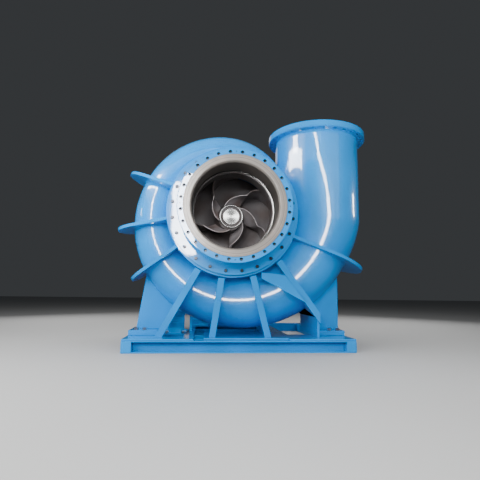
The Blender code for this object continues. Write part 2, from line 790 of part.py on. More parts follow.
def make_rotor():
    make_impeller()
    face = NUT_FACE
    back = NUT_FACE - NUT_DEPTH + GAP
    turned("impeller_nut", [
        (0, face - 0.022), (0.050, face - 0.018), (0.085, face - 0.010), (0.104, face - 0.002),
        (0.108, face - 0.012), (0.116, face - 0.014), (0.122, face - 0.004), (0.130, face),
        (NUT_R - 0.006, face - 0.003), (NUT_R, face - 0.012), (NUT_R, back), (0, back),
    ], polished(), 36)
    axis = AXIS_Z
    rod("shaft", (0, GAP - HUB_BACK, axis), (0, COUPLING_START - GAP, axis), SHAFT_R, machined(), 32)
    turned("coupling_half", [
        (0, -COUPLING_START), (COUPLING_HUB_R, -COUPLING_START), (COUPLING_HUB_R, -COUPLING_STEP),
        (COUPLING_R, -COUPLING_STEP), (COUPLING_R, -COUPLING_END), (0, -COUPLING_END),
    ], dark_iron())


# Rear casing cover, open bearing bracket, bearing housing and end cover
def make_drive_end():
    flange_back = COVER_FACE - COVER_T
    bore = SHAFT_R + SEAL_GAP
    seat = SHAFT_R + SHAFT_SEAT
    ring("rear_cover", COVER_R, bore, -(flange_back + GAP), -(flange_back + REAR_COVER_T), paint())
    start = flange_back + REAR_COVER_T + GAP
    front_r, rear_r = BRACKET_R
    joint = -(BRACKET_END - DRIVE_FLANGE_T)
    bracket = turned("bearing_bracket", [
        (bore, -start), (BRACKET_FOOT_R, -start), (BRACKET_FOOT_R, -(start + DRIVE_FLANGE_T)),
        (front_r, -(start + DRIVE_FLANGE_T)), (rear_r, joint), (HOUSING_FRONT_R, joint),
        (HOUSING_FRONT_R, -BRACKET_END), (BRACKET_BORE, -BRACKET_END),
        (BRACKET_BORE, -(start + BRACKET_FLOOR)), (bore, -(start + BRACKET_FLOOR)),
    ], paint())
    near, far = WINDOW_X
    for side in (-1, 1):
        window = box("bracket_window", (side * near, start + 0.085, AXIS_Z - WINDOW_HALF),
                     (side * far, BRACKET_END - 0.070, AXIS_Z + WINDOW_HALF), None, CUTTERS)
        bracket = cut(bracket, window)
    low = -(BRACKET_END + GAP)
    rear = DRIVE_FLANGE_T - HOUSING_END
    turned("bearing_housing", [
        (seat, low), (HOUSING_FRONT_R, low), (HOUSING_FRONT_R, low - DRIVE_FLANGE_T),
        (HOUSING_R, low - DRIVE_FLANGE_T), (HOUSING_R, rear), (HOUSING_REAR_R, rear),
        (HOUSING_REAR_R, -HOUSING_END), (seat, -HOUSING_END),
    ], paint())
    ring("bearing_end_cover", END_COVER_R, bore, -(HOUSING_END + GAP), -(HOUSING_END + END_COVER_T), paint())
    make_pedestal()


# Plate pedestal under the bearing housing
def make_pedestal():
    top = AXIS_Z - HOUSING_R + PEDESTAL_SADDLE
    foot_top = BEAM_H + PEDESTAL_FOOT_T
    mid = (BRACKET_END + HOUSING_END) / 2
    pedestal = plate("bearing_pedestal", [
        (-PEDESTAL_LOW, foot_top + GAP), (PEDESTAL_LOW, foot_top + GAP), (PEDESTAL_HIGH, top),
        (-PEDESTAL_HIGH, top),
    ], (0, mid, 0), (1, 0, 0), (0, 0, 1), PEDESTAL_T, paint())
    around = rod("pedestal_seat", (0, BRACKET_END, AXIS_Z), (0, HOUSING_END, AXIS_Z),
                 HOUSING_R + GAP, None, 48, CUTTERS)
    cut(pedestal, around)
    reach = PEDESTAL_LOW + PEDESTAL_FOOT_LAP
    box("pedestal_foot", (-reach, mid - PEDESTAL_FOOT_HALF, BEAM_H + GAP),
        (reach, mid + PEDESTAL_FOOT_HALF, foot_top), paint())


def make_oil_unit():
    start, shield, end = MOTOR_X
    left = BASE_LEFT + BEAM_W + GAP
    right = INNER_LEFT - BEAM_W / 2 - GAP
    front = UNIT_Y - UNIT_HALF_Y
    rear = UNIT_Y + UNIT_HALF_Y
    box("unit_plate", (left, front, UNIT_PLATE_TOP - UNIT_PLATE_T), (right, rear, UNIT_PLATE_TOP), paint())
    barrel = rod("unit_motor", (start, UNIT_Y, UNIT_Z), (shield, UNIT_Y, UNIT_Z), MOTOR_R, paint(), 24)
    feet = box("unit_motor_feet",
               (start + MOTOR_FOOT_INSET, UNIT_Y - MOTOR_FOOT_Y, UNIT_PLATE_TOP + GAP),
               (shield - MOTOR_FOOT_INSET, UNIT_Y + MOTOR_FOOT_Y, UNIT_Z - MOTOR_R * 0.7), None, CUTTERS)
    combine(barrel, feet, "UNION")
    rod("unit_motor_shield", (shield + GAP, UNIT_Y, UNIT_Z), (end, UNIT_Y, UNIT_Z), MOTOR_R - 0.004,
        grey_shield(), 24)
    bracket_x = end + GAP
    bracket_end = bracket_x + UNIT_BRACKET_T
    box("unit_bracket", (bracket_x, UNIT_Y - UNIT_BRACKET_HALF, BEAM_H + GAP),
        (bracket_end, UNIT_Y + UNIT_BRACKET_HALF, UNIT_Z + UNIT_BRACKET_HALF), paint())
    pump_start, pump_end = UNIT_PUMP_X
    low = UNIT_Z - UNIT_PUMP_DROP
    pump = rod("unit_pump", (pump_start, UNIT_Y, low), (pump_end, UNIT_Y, low), UNIT_PUMP_R, paint(), 24)
    for offset in (-UNIT_TIE_OFFSET, UNIT_TIE_OFFSET):
        tie = rod("unit_tie", (bracket_end + GAP, UNIT_Y, low + offset),
                  (pump_start + 0.01, UNIT_Y, low + offset), UNIT_TIE_R, None, 12, CUTTERS)
        pump = combine(pump, tie, "UNION")


# The rotor's pieces have their origins on the pump axis
def set_rotor_origins():
    place = Matrix.Translation((0, 0, AXIS_Z))
    for name in ROTOR:
        item = PARTS.objects[name]
        item.data.transform(place.inverted())
        item.matrix_world = place


def main():
    clear_scene()
    make_casing()
    trim = casing_solid("casing_trim", GAP)
    make_discharge_flange()
    make_suction_side()
    make_ribs(trim)
    make_legs(trim)
    make_strut()
    make_supports(trim)
    make_base()
    make_rotor()
    make_drive_end()
    make_oil_unit()
    set_rotor_origins()


main()
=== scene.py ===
import math

import bmesh
import bpy
from bpy.props import FloatProperty, FloatVectorProperty, IntProperty, PointerProperty
from mathutils import Matrix, Vector


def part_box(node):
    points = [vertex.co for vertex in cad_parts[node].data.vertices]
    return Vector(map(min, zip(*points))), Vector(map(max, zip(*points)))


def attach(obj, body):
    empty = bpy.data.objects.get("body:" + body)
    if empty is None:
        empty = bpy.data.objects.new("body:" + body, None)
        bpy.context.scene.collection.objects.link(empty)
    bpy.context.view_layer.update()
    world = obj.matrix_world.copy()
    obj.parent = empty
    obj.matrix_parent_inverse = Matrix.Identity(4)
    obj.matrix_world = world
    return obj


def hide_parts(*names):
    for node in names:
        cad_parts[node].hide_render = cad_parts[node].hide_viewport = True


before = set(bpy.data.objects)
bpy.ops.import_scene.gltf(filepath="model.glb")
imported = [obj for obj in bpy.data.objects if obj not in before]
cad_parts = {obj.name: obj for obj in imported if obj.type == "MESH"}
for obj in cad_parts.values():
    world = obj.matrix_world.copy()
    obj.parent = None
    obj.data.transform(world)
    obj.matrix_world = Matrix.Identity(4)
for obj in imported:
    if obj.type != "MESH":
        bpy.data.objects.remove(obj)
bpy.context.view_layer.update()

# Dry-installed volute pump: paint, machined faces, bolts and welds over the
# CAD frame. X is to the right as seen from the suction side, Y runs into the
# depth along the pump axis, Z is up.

bl_info = {
    "name": "Dry-installed pump",
    "version": (1, 0, 0),
    "blender": (4, 5, 0),
    "location": "3D View > Sidebar > Pump",
    "description": "Finishes the volute pump on its base frame: castings, flanges, impeller, bolts and paint",
    "category": "Object",
}

# Sizes of the pump in metres and degrees, the same as the frame's where it
# has them, and the numbers of steps in round shapes. Heights along the axis
# count from the casing's middle plane towards the suction side.
AXIS_Z = 1.570
HAIR_GAP = 0.0003
MERGE_GAP = 0.00002
TURN_STEPS = 144

SCROLL_INNER = 0.600
SCROLL_STATIONS = ((44, 0.163), (90, 0.232), (180, 0.290), (270, 0.372), (330, 0.466), (360, 0.533))
SCROLL_RINGS = 96
PIPE_RINGS = 12
SECTION_SIDES = 64
CASING_WALL = 0.034
DRUM_R = 0.700
DRUM_HALF = 0.497
CHAMBER_R = 0.660
MOUTH_R = 0.661
DISCHARGE_X = 1.133
DISCHARGE_TOP = AXIS_Z + 1.123
DISCHARGE_FLANGE_R = 0.622
DISCHARGE_FLANGE_T = 0.078

SUCTION_FACE = 0.894
FACE_STEP = 0.003
BORE_R = 0.465
LINER_R = 0.482
LINER_END = 0.590
LIP_WIDTH = 0.025
LIP_DEPTH = 0.035
SUCTION_FLANGE_R = 0.6175
SUCTION_FLANGE_T = 0.055
FACE_RING_R = 0.555
NECK_R = 0.530
NECK_FILLET = 0.045
COVER_R = 0.730
COVER_FACE = 0.5875
COVER_T = 0.045
SPIGOT_R = 0.655
SPIGOT_L = 0.040
THROAT_R = 0.505
CASING_FLANGE_R = 0.757
CASING_FLANGE_T = 0.045
REAR_COVER_STEP = 0.0148
EYE_R = 0.448

RIB_T = 0.038
RIB_CREST = 0.045
RIB_HEEL = 0.035
RIB_SINK = 0.012
RIB_DRUM_SINK = 0.010
RIB_FACE_SINK = 0.003
WELD_SWING = 100
WELD_STEPS = 48
RIBS = (("rib_upper_left", 157.0, 1.364), ("rib_left", 187.5, 1.390),
        ("rib_lower_left", 213.5, 1.425), ("rib_right", 339.0, 1.800))

IMPELLER_R = 0.600
IMPELLER_STEPS = 120
EYE_FRONT = 0.544
VANE_COUNT = 5
VANE_CELLS = 40
VANE_T = 0.022
VANE_EDGE_R = 0.350
VANE_EDGE_ANGLE = 270
VANE_ROOT_R = 0.120
VANE_TOP_R = EYE_R + 0.018
VANE_BEND = 68
VANE_BEND_SPAN = 0.200
VANE_BEND_POWER = 1.25
VANE_TAIL = 48
VANE_SWEEP_DEPTH = 0.200
VANE_TAPER = 0.100
VANE_EDGE_SHARE = 0.35
VANE_FRONT = 0.165
VANE_SHROUD_FRONT = 0.280
NUT_R = 0.146
NUT_FACE = 0.224
NUT_DEPTH = 0.050
GROOVE_DEPTH = 0.022
HUB_BACK = -0.300

END_COVER_CIRCLE = 0.380
END_COVER_BOLTS = 8
BRACKET_CIRCLE = 0.580
BRACKET_BOLTS = 12
BRACKET_STEP = 0.0355
FOOT_BOLT_COLUMNS = (("foot_left", (-1.085, -0.990)), ("foot_right", (1.225, 1.330)))
FOOT_BOLT_Y = 0.150

AXIS_POINT = Vector((0, 0, AXIS_Z))
SUCTION_WAY = Vector((0, -1, 0))
RIGHT = Vector((1, 0, 0))
DEPTH = Vector((0, 1, 0))
UP = Vector((0, 0, 1))


class PumpSizes(bpy.types.PropertyGroup):
    """Sizes of the fittings that the scene adds to the frame"""
    bolt_circle: FloatProperty(name="Flange bolt circle", unit="LENGTH", default=1.160,
                               description="Diameter of the circle of holes in both pipe flanges")
    flange_holes: IntProperty(name="Flange holes", default=28, min=4,
                              description="Number of holes in each pipe flange")
    hole_diameter: FloatProperty(name="Hole diameter", unit="LENGTH", default=0.036,
                                 description="Diameter of a hole in a pipe flange")
    cover_circle: FloatProperty(name="Cover bolt circle", unit="LENGTH", default=1.374,
                                description="Diameter of the circle of bolts round the casing covers")
    cover_bolts: IntProperty(name="Cover bolts", default=24, min=4,
                             description="Number of bolts round each casing cover")
    bolt_width: FloatProperty(name="Bolt head width", unit="LENGTH", default=0.030,
                              description="Width across the flats of a cover bolt")
    foot_bolt_width: FloatProperty(name="Foot bolt width", unit="LENGTH", default=0.046,
                                   description="Width across the flats of a foot bolt")
    edge_round: FloatProperty(name="Plate edge", unit="LENGTH", default=0.004,
                              description="Rounding of the cut edges of plates and beams")
    cast_round: FloatProperty(name="Cast edge", unit="LENGTH", default=0.006,
                              description="Rounding of the edges of flanges and covers")
    weld_size: FloatProperty(name="Weld size", unit="LENGTH", default=0.010,
                             description="Radius of a weld bead")
    motor_fins: IntProperty(name="Motor fins", default=36, min=8,
                            description="Cooling fins round the barrel of the small motor")


class PumpColours(bpy.types.PropertyGroup):
    """Colours of the pump's finishes"""
    paint: FloatVectorProperty(name="Paint", subtype="COLOR", size=3, default=(0.001, 0.222, 0.590),
                               description="Gloss paint on castings and steelwork")
    machined: FloatVectorProperty(name="Machined face", subtype="COLOR", size=3, default=(0.40, 0.37, 0.34),
                                  description="Bare machined iron of the suction face, bore and shaft")
    polished: FloatVectorProperty(name="Polished steel", subtype="COLOR", size=3, default=(0.82, 0.82, 0.81),
                                  description="Turned steel of the impeller nut and the wear ring")
    # Also used as painted shade in the nut's groove and, at a lower tint, on the impeller's shrouds
    dark_iron: FloatVectorProperty(name="Dark iron", subtype="COLOR", size=3, default=(0.180, 0.166, 0.172),
                                   description="Dark cast iron of the impeller and the coupling")
    motor_grey: FloatVectorProperty(name="Motor shield", subtype="COLOR", size=3, default=(0.42, 0.40, 0.36),
                                    description="Grey paint of the small motor's end shield")
    zinc: FloatVectorProperty(name="Zinc", subtype="COLOR", size=3, default=(0.62, 0.63, 0.65),
                              description="Plated bolts and washers of the feet and the drive end")
    # Real black steel on the cover bolts, and painted shade inside the suction flange's holes
    black_steel_and_hole_shade: FloatVectorProperty(name="Black steel", subtype="COLOR", size=3,
                                     default=(0.030, 0.040, 0.055),
                                     description="Cover bolts and the insides of the suction flange's holes")
    floor: FloatVectorProperty(name="Floor", subtype="COLOR", size=3, default=(0.38, 0.38, 0.375),
                               description="Plain pale floor")


def sizes():
    return bpy.context.scene.pump_sizes


def colours():
    return bpy.context.scene.pump_colours


# Shader maths: a socket that adds Math nodes when it is used in an expression
class Signal:
    def __init__(self, finish, socket):
        self.finish = finish
        self.socket = socket

    def math(self, operation, *values):
        return self.finish.node("ShaderNodeMath", {"operation": operation}, dict(enumerate(values)))

    def __add__(self, other):
        return self.math("ADD", self, other)

    def __radd__(self, other):
        return self.math("ADD", other, self)

    def __mul__(self, other):
        return self.math("MULTIPLY", self, other)

    def __rmul__(self, other):
        return self.math("MULTIPLY", other, self)

    def sine(self):
        return self.math("SINE", self)

    # A smooth rise from 0 at the low value to 1 at the high one
    def above(self, low, high):
        values = {"Value": self, "From Min": low, "From Max": high}
        return self.finish.node("ShaderNodeMapRange", {"interpolation_type": "SMOOTHSTEP"}, values)


# One procedural material: a Principled shader and the nodes that feed it. A
# constant such as coat_weight goes to the shader's input of that name.
class Finish:
    def __init__(self, name, colour, roughness, metallic=0.0, **constants):
        self.material = bpy.data.materials.new(name)
        self.material.use_nodes = True
        self.tree = self.material.node_tree
        self.shader = self.tree.nodes["Principled BSDF"]
        self.material.diffuse_color = (*colour, 1.0)
        self.feed("Base Color", (*colour, 1.0))
        self.feed("Roughness", roughness)
        self.feed("Metallic", metallic)
        for key, value in constants.items():
            self.feed(key.replace("_", " ").title().replace("Ior", "IOR"), value)

    def feed(self, name, value):
        self.put(self.shader.inputs[name], value)

    def put(self, socket, value):
        if isinstance(value, Signal):
            self.tree.links.new(value.socket, socket)
        else:
            socket.default_value = value

    def node(self, kind, settings, values, output=0):
        made = self.tree.nodes.new(kind)
        for key, value in settings.items():
            setattr(made, key, value)
        for key, value in values.items():
            self.put(made.inputs[key], value)
        return Signal(self, made.outputs[output])

    def place(self, shift=(0, 0, 0), scale=(1, 1, 1)):
        here = self.node("ShaderNodeTexCoord", {}, {}, "Object")
        values = {"Vector": here, "Location": shift, "Scale": scale}
        return self.node("ShaderNodeMapping", {"vector_type": "POINT"}, values)

    def noise(self, scale, detail=3.0, where=None):
        values = {"Vector": where or self.place(), "Scale": scale, "Detail": detail, "Roughness": 0.5}
        return self.node("ShaderNodeTexNoise", {}, values)

    # The Mix node's colour inputs are its seventh and eighth, after those for
    # numbers and vectors, and its colour output is the third
    def mix(self, amount, first, second):
        values = {0: amount, 6: first, 7: second}
        return self.node("ShaderNodeMix", {"data_type": "RGBA"}, values, 2)

    def bump(self, height, distance, under=None):
        values = {"Height": height, "Distance": distance, "Strength": 1.0}
        if under:
            values["Normal"] = under
        return self.node("ShaderNodeBump", {}, values)

    # Distance from the pump axis
    def off_axis(self):
        centred = self.place(shift=(0, 0, -AXIS_Z), scale=(1, 0, 1))
        return self.node("ShaderNodeVectorMath", {"operation": "LENGTH"}, {0: centred}, "Value")

    # Noise in rings round the pump axis, as a lathe leaves it
    def turned_noise(self, rings, detail):
        outward = self.node("ShaderNodeCombineXYZ", {}, {"X": self.off_axis() * rings})
        return self.noise(1.0, detail, outward)


def shade(colour, factor):
    return (*(min(1.0, part * factor) for part in colour), 1.0)


# Gloss paint. Castings show a soft skin of bumps under it, plates are flatter.
def gloss_paint(name, skin):
    base = tuple(colours().paint)
    finish = Finish(name, base, roughness=0.30, coat_weight=1.0, coat_roughness=0.045, coat_ior=1.5,
                    specular_ior_level=0.15)
    cloud = finish.noise(scale=1.7, detail=2.0).above(low=0.35, high=0.70)
    grain = finish.noise(scale=90.0)
    finish.feed("Base Color", finish.mix(cloud, shade(base, 0.93), shade(base, 1.08)))
    finish.feed("Roughness", 0.26 + 0.10 * grain)
    cast = finish.bump(finish.noise(scale=26.0, detail=4.0), distance=skin)
    peel = finish.bump(finish.noise(scale=170.0, detail=2.0), distance=0.0002, under=cast)
    finish.feed("Normal", peel)
    return finish.material


# Iron fresh from the lathe, with fine turning marks and a warm stain
def machined_iron(name, tint, rough, metallic):
    base = tuple(part * tint for part in colours().machined)
    stain = (0.62, 0.50, 0.42)
    finish = Finish(name, base, rough, metallic)
    marks = (finish.off_axis() * 520.0).sine()
    drift = finish.noise(scale=7.0, detail=4.0).above(low=0.45, high=0.75)
    rings = finish.turned_noise(rings=90.0, detail=3.0)
    tone = finish.mix(rings.above(low=0.30, high=0.75), shade(base, 0.82), shade(base, 1.10))
    finish.feed("Base Color", finish.mix(drift * 0.35, tone, shade(stain, tint)))
    finish.feed("Roughness", rough - 0.08 + 0.20 * rings)
    finish.feed("Normal", finish.bump(marks + rings * 2.0, distance=0.00025))
    return finish.material


def polished_steel(name):
    base = tuple(colours().polished)
    finish = Finish(name, base, roughness=0.12, metallic=1.0)
    grooves = finish.turned_noise(rings=700.0, detail=2.0)
    finish.feed("Base Color", finish.mix(grooves, shade(base, 0.90), shade(base, 1.05)))
    finish.feed("Roughness", 0.09 + 0.12 * grooves)
    finish.feed("Normal", finish.bump(grooves, distance=0.0004))
    return finish.material


# Sand-cast iron with brown patches
def dark_cast_iron(name, tint):
    base = tuple(part * tint for part in colours().dark_iron)
    brown = (0.085, 0.062, 0.055)
    finish = Finish(name, base, roughness=0.42, metallic=0.25, specular_ior_level=0.5)
    patches = finish.noise(scale=5.0, detail=5.0)
    sand = finish.noise(scale=140.0)
    tone = finish.mix(patches.above(low=0.35, high=0.75), shade(base, 0.75), shade(brown, tint))
    finish.feed("Base Color", tone)
    finish.feed("Roughness", 0.34 + 0.20 * patches)
    finish.feed("Normal", finish.bump(sand + patches * 3.0, distance=0.0012))
    return finish.material


def grey_paint(name):
    base = tuple(colours().motor_grey)
    finish = Finish(name, base, roughness=0.45)
    skin = finish.noise(scale=60.0, detail=4.0)
    finish.feed("Base Color", finish.mix(skin, shade(base, 0.90), shade(base, 1.08)))
    finish.feed("Normal", finish.bump(skin, distance=0.0015))
    return finish.material


def bolt_steel(name, colour, metallic):
    base = tuple(colour)
    finish = Finish(name, base, roughness=0.32, metallic=metallic)
    cloud = finish.noise(scale=40.0)
    finish.feed("Base Color", finish.mix(cloud, shade(base, 0.80), shade(base, 1.10)))
    finish.feed("Roughness", 0.24 + 0.18 * cloud)
    finish.feed("Normal", finish.bump(cloud, distance=0.0004))
    return finish.material


def floor_finish(name):
    base = tuple(colours().floor)
    finish = Finish(name, base, roughness=0.65)
    cloud = finish.noise(scale=0.8, detail=4.0)
    finish.feed("Base Color", finish.mix(cloud, shade(base, 0.97), shade(base, 1.02)))
    finish.feed("Normal", finish.bump(finish.noise(scale=30.0), distance=0.0006))
    return finish.material


FINISHES = {}


def make_finishes():
    FINISHES.update({
        "cast_paint": gloss_paint("cast_paint", skin=0.0022),
        "plate_paint": gloss_paint("plate_paint", skin=0.0007),
        "face_iron": machined_iron("face_iron", tint=0.50, rough=0.27, metallic=0.3),
        "bore_iron": machined_iron("bore_iron", tint=0.36, rough=0.28, metallic=0.7),
        "bright_steel": polished_steel("bright_steel"),
        "dark_iron": dark_cast_iron("dark_iron", tint=1.0),
        # The dark iron at a lower tint, as painted shade for the impeller's shrouds deep inside the eye
        "deep_iron": dark_cast_iron("deep_iron", tint=0.38),
        "shield_grey": grey_paint("shield_grey"),
        "plated_bolt": bolt_steel("plated_bolt", colours().zinc, metallic=0.9),
        "black_bolt": bolt_steel("black_bolt", colours().black_steel_and_hole_shade, metallic=0.5),
    })


# Distance of a point from the pump axis
def off_axis(point):
    return math.hypot(point.x, point.z - AXIS_Z)


# The point at a turn round the pump axis, a radius and a height along it
def round_axis(turn, radius, height=0.0):
    return Vector((radius * math.cos(turn), -height, AXIS_Z + radius * math.sin(turn)))


# Angles of a quarter turn in steps of some degrees
def quarter(step):
    return [math.radians(angle) for angle in range(0, 91, step)]


# Radius of the scroll's round section at an angle, by a smooth curve
# through the stations
def section_radius(angle):
    stations = SCROLL_STATIONS
    last = len(stations) - 1
    i = next(i for i in range(last) if angle <= stations[i + 1][0])
    slopes = []
    for k in (i, i + 1):
        before = stations[max(k - 1, 0)]
        after = stations[min(k + 1, last)]
        slopes.append((after[1] - before[1]) / (after[0] - before[0]))
    (a0, r0), (a1, r1) = stations[i], stations[i + 1]
    span = a1 - a0
    t = (angle - a0) / span
    ease = t * t * (3 - 2 * t)
    lead = t * (1 - t) ** 2 * span * slopes[0]
    tail = t * t * (t - 1) * span * slopes[1]
    return r0 + (r1 - r0) * ease + lead + tail


# Turns a bmesh into an object of the scene
def add_object(name, bm):
    mesh = bpy.data.meshes.new(name)
    bm.to_mesh(mesh)
    bm.free()
    item = bpy.data.objects.new(name, mesh)
    bpy.context.scene.collection.objects.link(item)
    return item


# Moves a part's shape into another bmesh
def join(bm, part):
    mesh = bpy.data.meshes.new("part")
    part.to_mesh(mesh)
    part.free()
    bm.from_mesh(mesh)
    bpy.data.meshes.remove(mesh)


# Joins, cuts or intersects two shapes by a Boolean. A shape that runs into
# itself is marked as crossing.
def carve(bm, tool, operation, crossing=False):
    item = add_object("work", bm)
    other = add_object("tool", tool)
    step = item.modifiers.new("carve", "BOOLEAN")
    step.operation = operation
    step.object = other
    step.solver = "EXACT"
    step.use_self = crossing
    graph = bpy.context.evaluated_depsgraph_get()
    graph.update()
    mesh = bpy.data.meshes.new_from_object(item.evaluated_get(graph))
    bm = bmesh.new()
    bm.from_mesh(mesh)
    bpy.data.meshes.remove(mesh)
    for gone in (item, other):
        bpy.data.objects.remove(gone, do_unlink=True)
    return bm


# Makes the finished piece: material, smooth shading with crisp edges, the
# body that it rides on, and the CAD nodes that it stands for
def add_piece(name, bm, finish, body, replaced=(), crisp=35, flat=True):
    item = add_object(name, bm)
    mesh = item.data
    mesh.materials.append(FINISHES[finish])
    mesh.shade_smooth()
    mesh.set_sharp_from_angle(angle=math.radians(crisp))
    if flat:
        finer = item.modifiers.new("flat_faces", "WEIGHTED_NORMAL")
        finer.keep_sharp = True
    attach(item, body)
    if replaced:
        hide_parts(*replaced)
    return item


# Rounds the sharp edges that are longer than the shortest one wanted
def soften(bm, offset, angle=30.0, shortest=0.0):
    limit = math.radians(angle)
    edges = [edge for edge in bm.edges if len(edge.link_faces) == 2
             and edge.calc_face_angle(0.0) > limit and edge.calc_length() > shortest]
    bmesh.ops.bevel(bm, geom=edges, offset=offset, offset_type="OFFSET", segments=2, profile=0.5,
                    affect="EDGES", clamp_overlap=True, material=-1)


# A CAD node's shape as whole faces, with its long sharp edges rounded
def softened_copy(node, offset, shortest):
    bm = bmesh.new()
    bm.from_mesh(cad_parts[node].data)
    bmesh.ops.remove_doubles(bm, verts=bm.verts, dist=MERGE_GAP)
    bmesh.ops.dissolve_limit(bm, angle_limit=math.radians(0.8), verts=bm.verts, edges=bm.edges)
    if offset:
        soften(bm, offset, shortest=shortest)
    return bm


# Turns a profile of (radius, height) about an axis through a centre. A
# profile that starts and ends on the axis gives a solid, any other a ring.
def turned(profile, centre=AXIS_POINT, axis=SUCTION_WAY, steps=128, edge=0.0):
    bm = bmesh.new()
    across = axis.orthogonal().normalized()
    verts = [bm.verts.new(centre + across * radius + axis * height) for radius, height in profile]
    for first, second in zip(verts, verts[1:]):
        bm.edges.new((first, second))
    if profile[0][0] > 0:
        bm.edges.new((verts[-1], verts[0]))
    bmesh.ops.spin(bm, geom=bm.verts[:] + bm.edges[:], cent=centre, axis=axis, angle=math.tau,
                   steps=steps, use_merge=True)
    bmesh.ops.remove_doubles(bm, verts=bm.verts, dist=MERGE_GAP)
    bmesh.ops.recalc_face_normals(bm, faces=bm.faces)
    if edge:
        soften(bm, edge)
    return bm


def ring_profile(outer, inner, front, back):
    return [(inner, front), (outer, front), (outer, back), (inner, back)]


# A place at a point, with its Z along an axis and its X across it
def frame_at(point, axis, across=None):
    side = (across or axis.orthogonal()).normalized()
    third = axis.cross(side).normalized()
    return Matrix.Translation(point) @ Matrix((side, third, axis)).transposed().to_4x4()


# A rod from a point along an axis, straight unless its top has a radius of its own
def add_rod(bm, point, axis, radius, length, sides, top=None):
    place = frame_at(point, axis.normalized()) @ Matrix.Translation((0, 0, length / 2))
    bmesh.ops.create_cone(bm, cap_ends=True, segments=sides, radius1=radius,
                          radius2=radius if top is None else top, depth=length, matrix=place)


# Hexagon head with its chamfered crown, on a washer that is let in a little
def add_bolt(bm, point, axis, width, height):
    sink = 0.002
    radius = width / 2 / math.cos(math.radians(30))
    washer = width * 0.09
    straight = height * 0.86
    add_rod(bm, point - axis * sink, axis, radius * 1.15, washer + sink, 24)
    add_rod(bm, point + axis * washer, axis, radius, straight, 6)
    add_rod(bm, point + axis * (washer + straight), axis, radius, height - straight, 6, width * 0.46)


# Points of a circle round a centre, the first one at the phase in degrees
def circle_points(count, radius, centre, axis, across, phase=0.0):
    side = axis.cross(across).normalized()
    points = []
    for i in range(count):
        turn = math.radians(phase) + math.tau * i / count
        points.append(centre + (across * math.cos(turn) + side * math.sin(turn)) * radius)
    return points


def add_box(bm, low, high):
    low = Vector(low)
    high = Vector(high)
    place = Matrix.Translation((low + high) / 2) @ Matrix.Diagonal((*(high - low), 1.0))
    bmesh.ops.create_cube(bm, size=1.0, matrix=place)


# A closed tube through a row of circles, each given by its place and radius
def add_tube(bm, circles, sides):
    previous = None
    last = len(circles) - 1
    for i, (place, radius) in enumerate(circles):
        ring = bmesh.ops.create_circle(bm, cap_ends=i in (0, last), segments=sides, radius=radius,
                                       matrix=place)
        edges = list({edge for vert in ring["verts"] for edge in vert.link_edges})
        if previous:
            bmesh.ops.bridge_loops(bm, edges=previous + edges)
        previous = edges


# Direction of a line of points at each of them
def directions(points):
    last = len(points) - 1
    return [(points[min(i + 1, last)] - points[max(i - 1, 0)]).normalized() for i in range(last + 1)]


# A weld bead along a line of points, slightly lumpy as it was laid
def add_bead(bm, points, radius):
    circles = []
    for i, (point, along) in enumerate(zip(points, directions(points))):
        across = DEPTH.cross(along)
        across = across if across.length > 0.2 else UP.cross(along)
        lump = 1.0 + 0.10 * math.sin(i * 2.3)
        circles.append((frame_at(point, along, across), radius * lump))
    add_tube(bm, circles, 8)


# Tube along the scroll and up the discharge, grown or shrunk by an amount
def scroll_tube(grow, top):
    points = []
    radii = []
    start = SCROLL_STATIONS[0][0]
    for i in range(SCROLL_RINGS + 1):
        angle = start + (360 - start) * i / SCROLL_RINGS
        radii.append(section_radius(angle) + grow)
        points.append(round_axis(math.radians(angle), SCROLL_INNER + section_radius(angle)))
    for i in range(1, PIPE_RINGS + 1):
        radii.append(section_radius(360) + grow)
        points.append(Vector((DISCHARGE_X, 0, AXIS_Z + (top - AXIS_Z) * i / PIPE_RINGS)))
    places = [frame_at(point, along, DEPTH) for point, along in zip(points, directions(points))]
    bm = bmesh.new()
    add_tube(bm, list(zip(places, radii)), SECTION_SIDES)
    bmesh.ops.recalc_face_normals(bm, faces=bm.faces)
    return bm


def axis_cylinder(radius, half):
    return turned([(0, half), (radius, half), (radius, -half), (0, -half)])


# The tube runs into itself where the scroll begins beside the discharge pipe
def make_scroll():
    top = DISCHARGE_TOP - DISCHARGE_FLANGE_T
    past_top = top + 0.1
    drum = axis_cylinder(DRUM_R, DRUM_HALF)
    chamber = axis_cylinder(CHAMBER_R, DRUM_HALF - CASING_WALL)
    shell = carve(scroll_tube(0.0, top), drum, "UNION", crossing=True)
    hollow = carve(scroll_tube(-CASING_WALL, past_top), chamber, "UNION", crossing=True)
    shell = carve(shell, hollow, "DIFFERENCE")
    shell = carve(shell, axis_cylinder(MOUTH_R, COVER_FACE), "DIFFERENCE")
    casing_nodes = [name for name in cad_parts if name.startswith("volute_") or name == "discharge_pipe"]
    add_piece("scroll_casing", shell, "cast_paint", "frame", casing_nodes, crisp=38, flat=False)


# A flange with rounded rims and a circle of holes, from one height along the
# axis to another, with a small punch mark at each quarter if it is wanted
def drilled_flange(profile, centre, axis, low, high, mark=0.0):
    size = sizes()
    bm = turned(profile, centre, axis, TURN_STEPS, size.cast_round)
    tool = bmesh.new()
    radius = size.bolt_circle / 2
    half_step = 180 / size.flange_holes
    for point in circle_points(size.flange_holes, radius, centre, axis, RIGHT, half_step):
        add_rod(tool, point + axis * low, axis, size.hole_diameter / 2, high - low, 20)
    if mark:
        deep = 0.016
        for point in circle_points(4, radius + 0.004, centre, axis, RIGHT):
            add_rod(tool, point + axis * (high - deep), axis, mark / 2, deep, 12)
    return carve(bm, tool, "DIFFERENCE")


# Gives the faces whose middles a test picks a second finish
def paint_faces(item, finish, test):
    item.data.materials.append(FINISHES[finish])
    for polygon in item.data.polygons:
        if test(polygon.center):
            polygon.material_index = 1


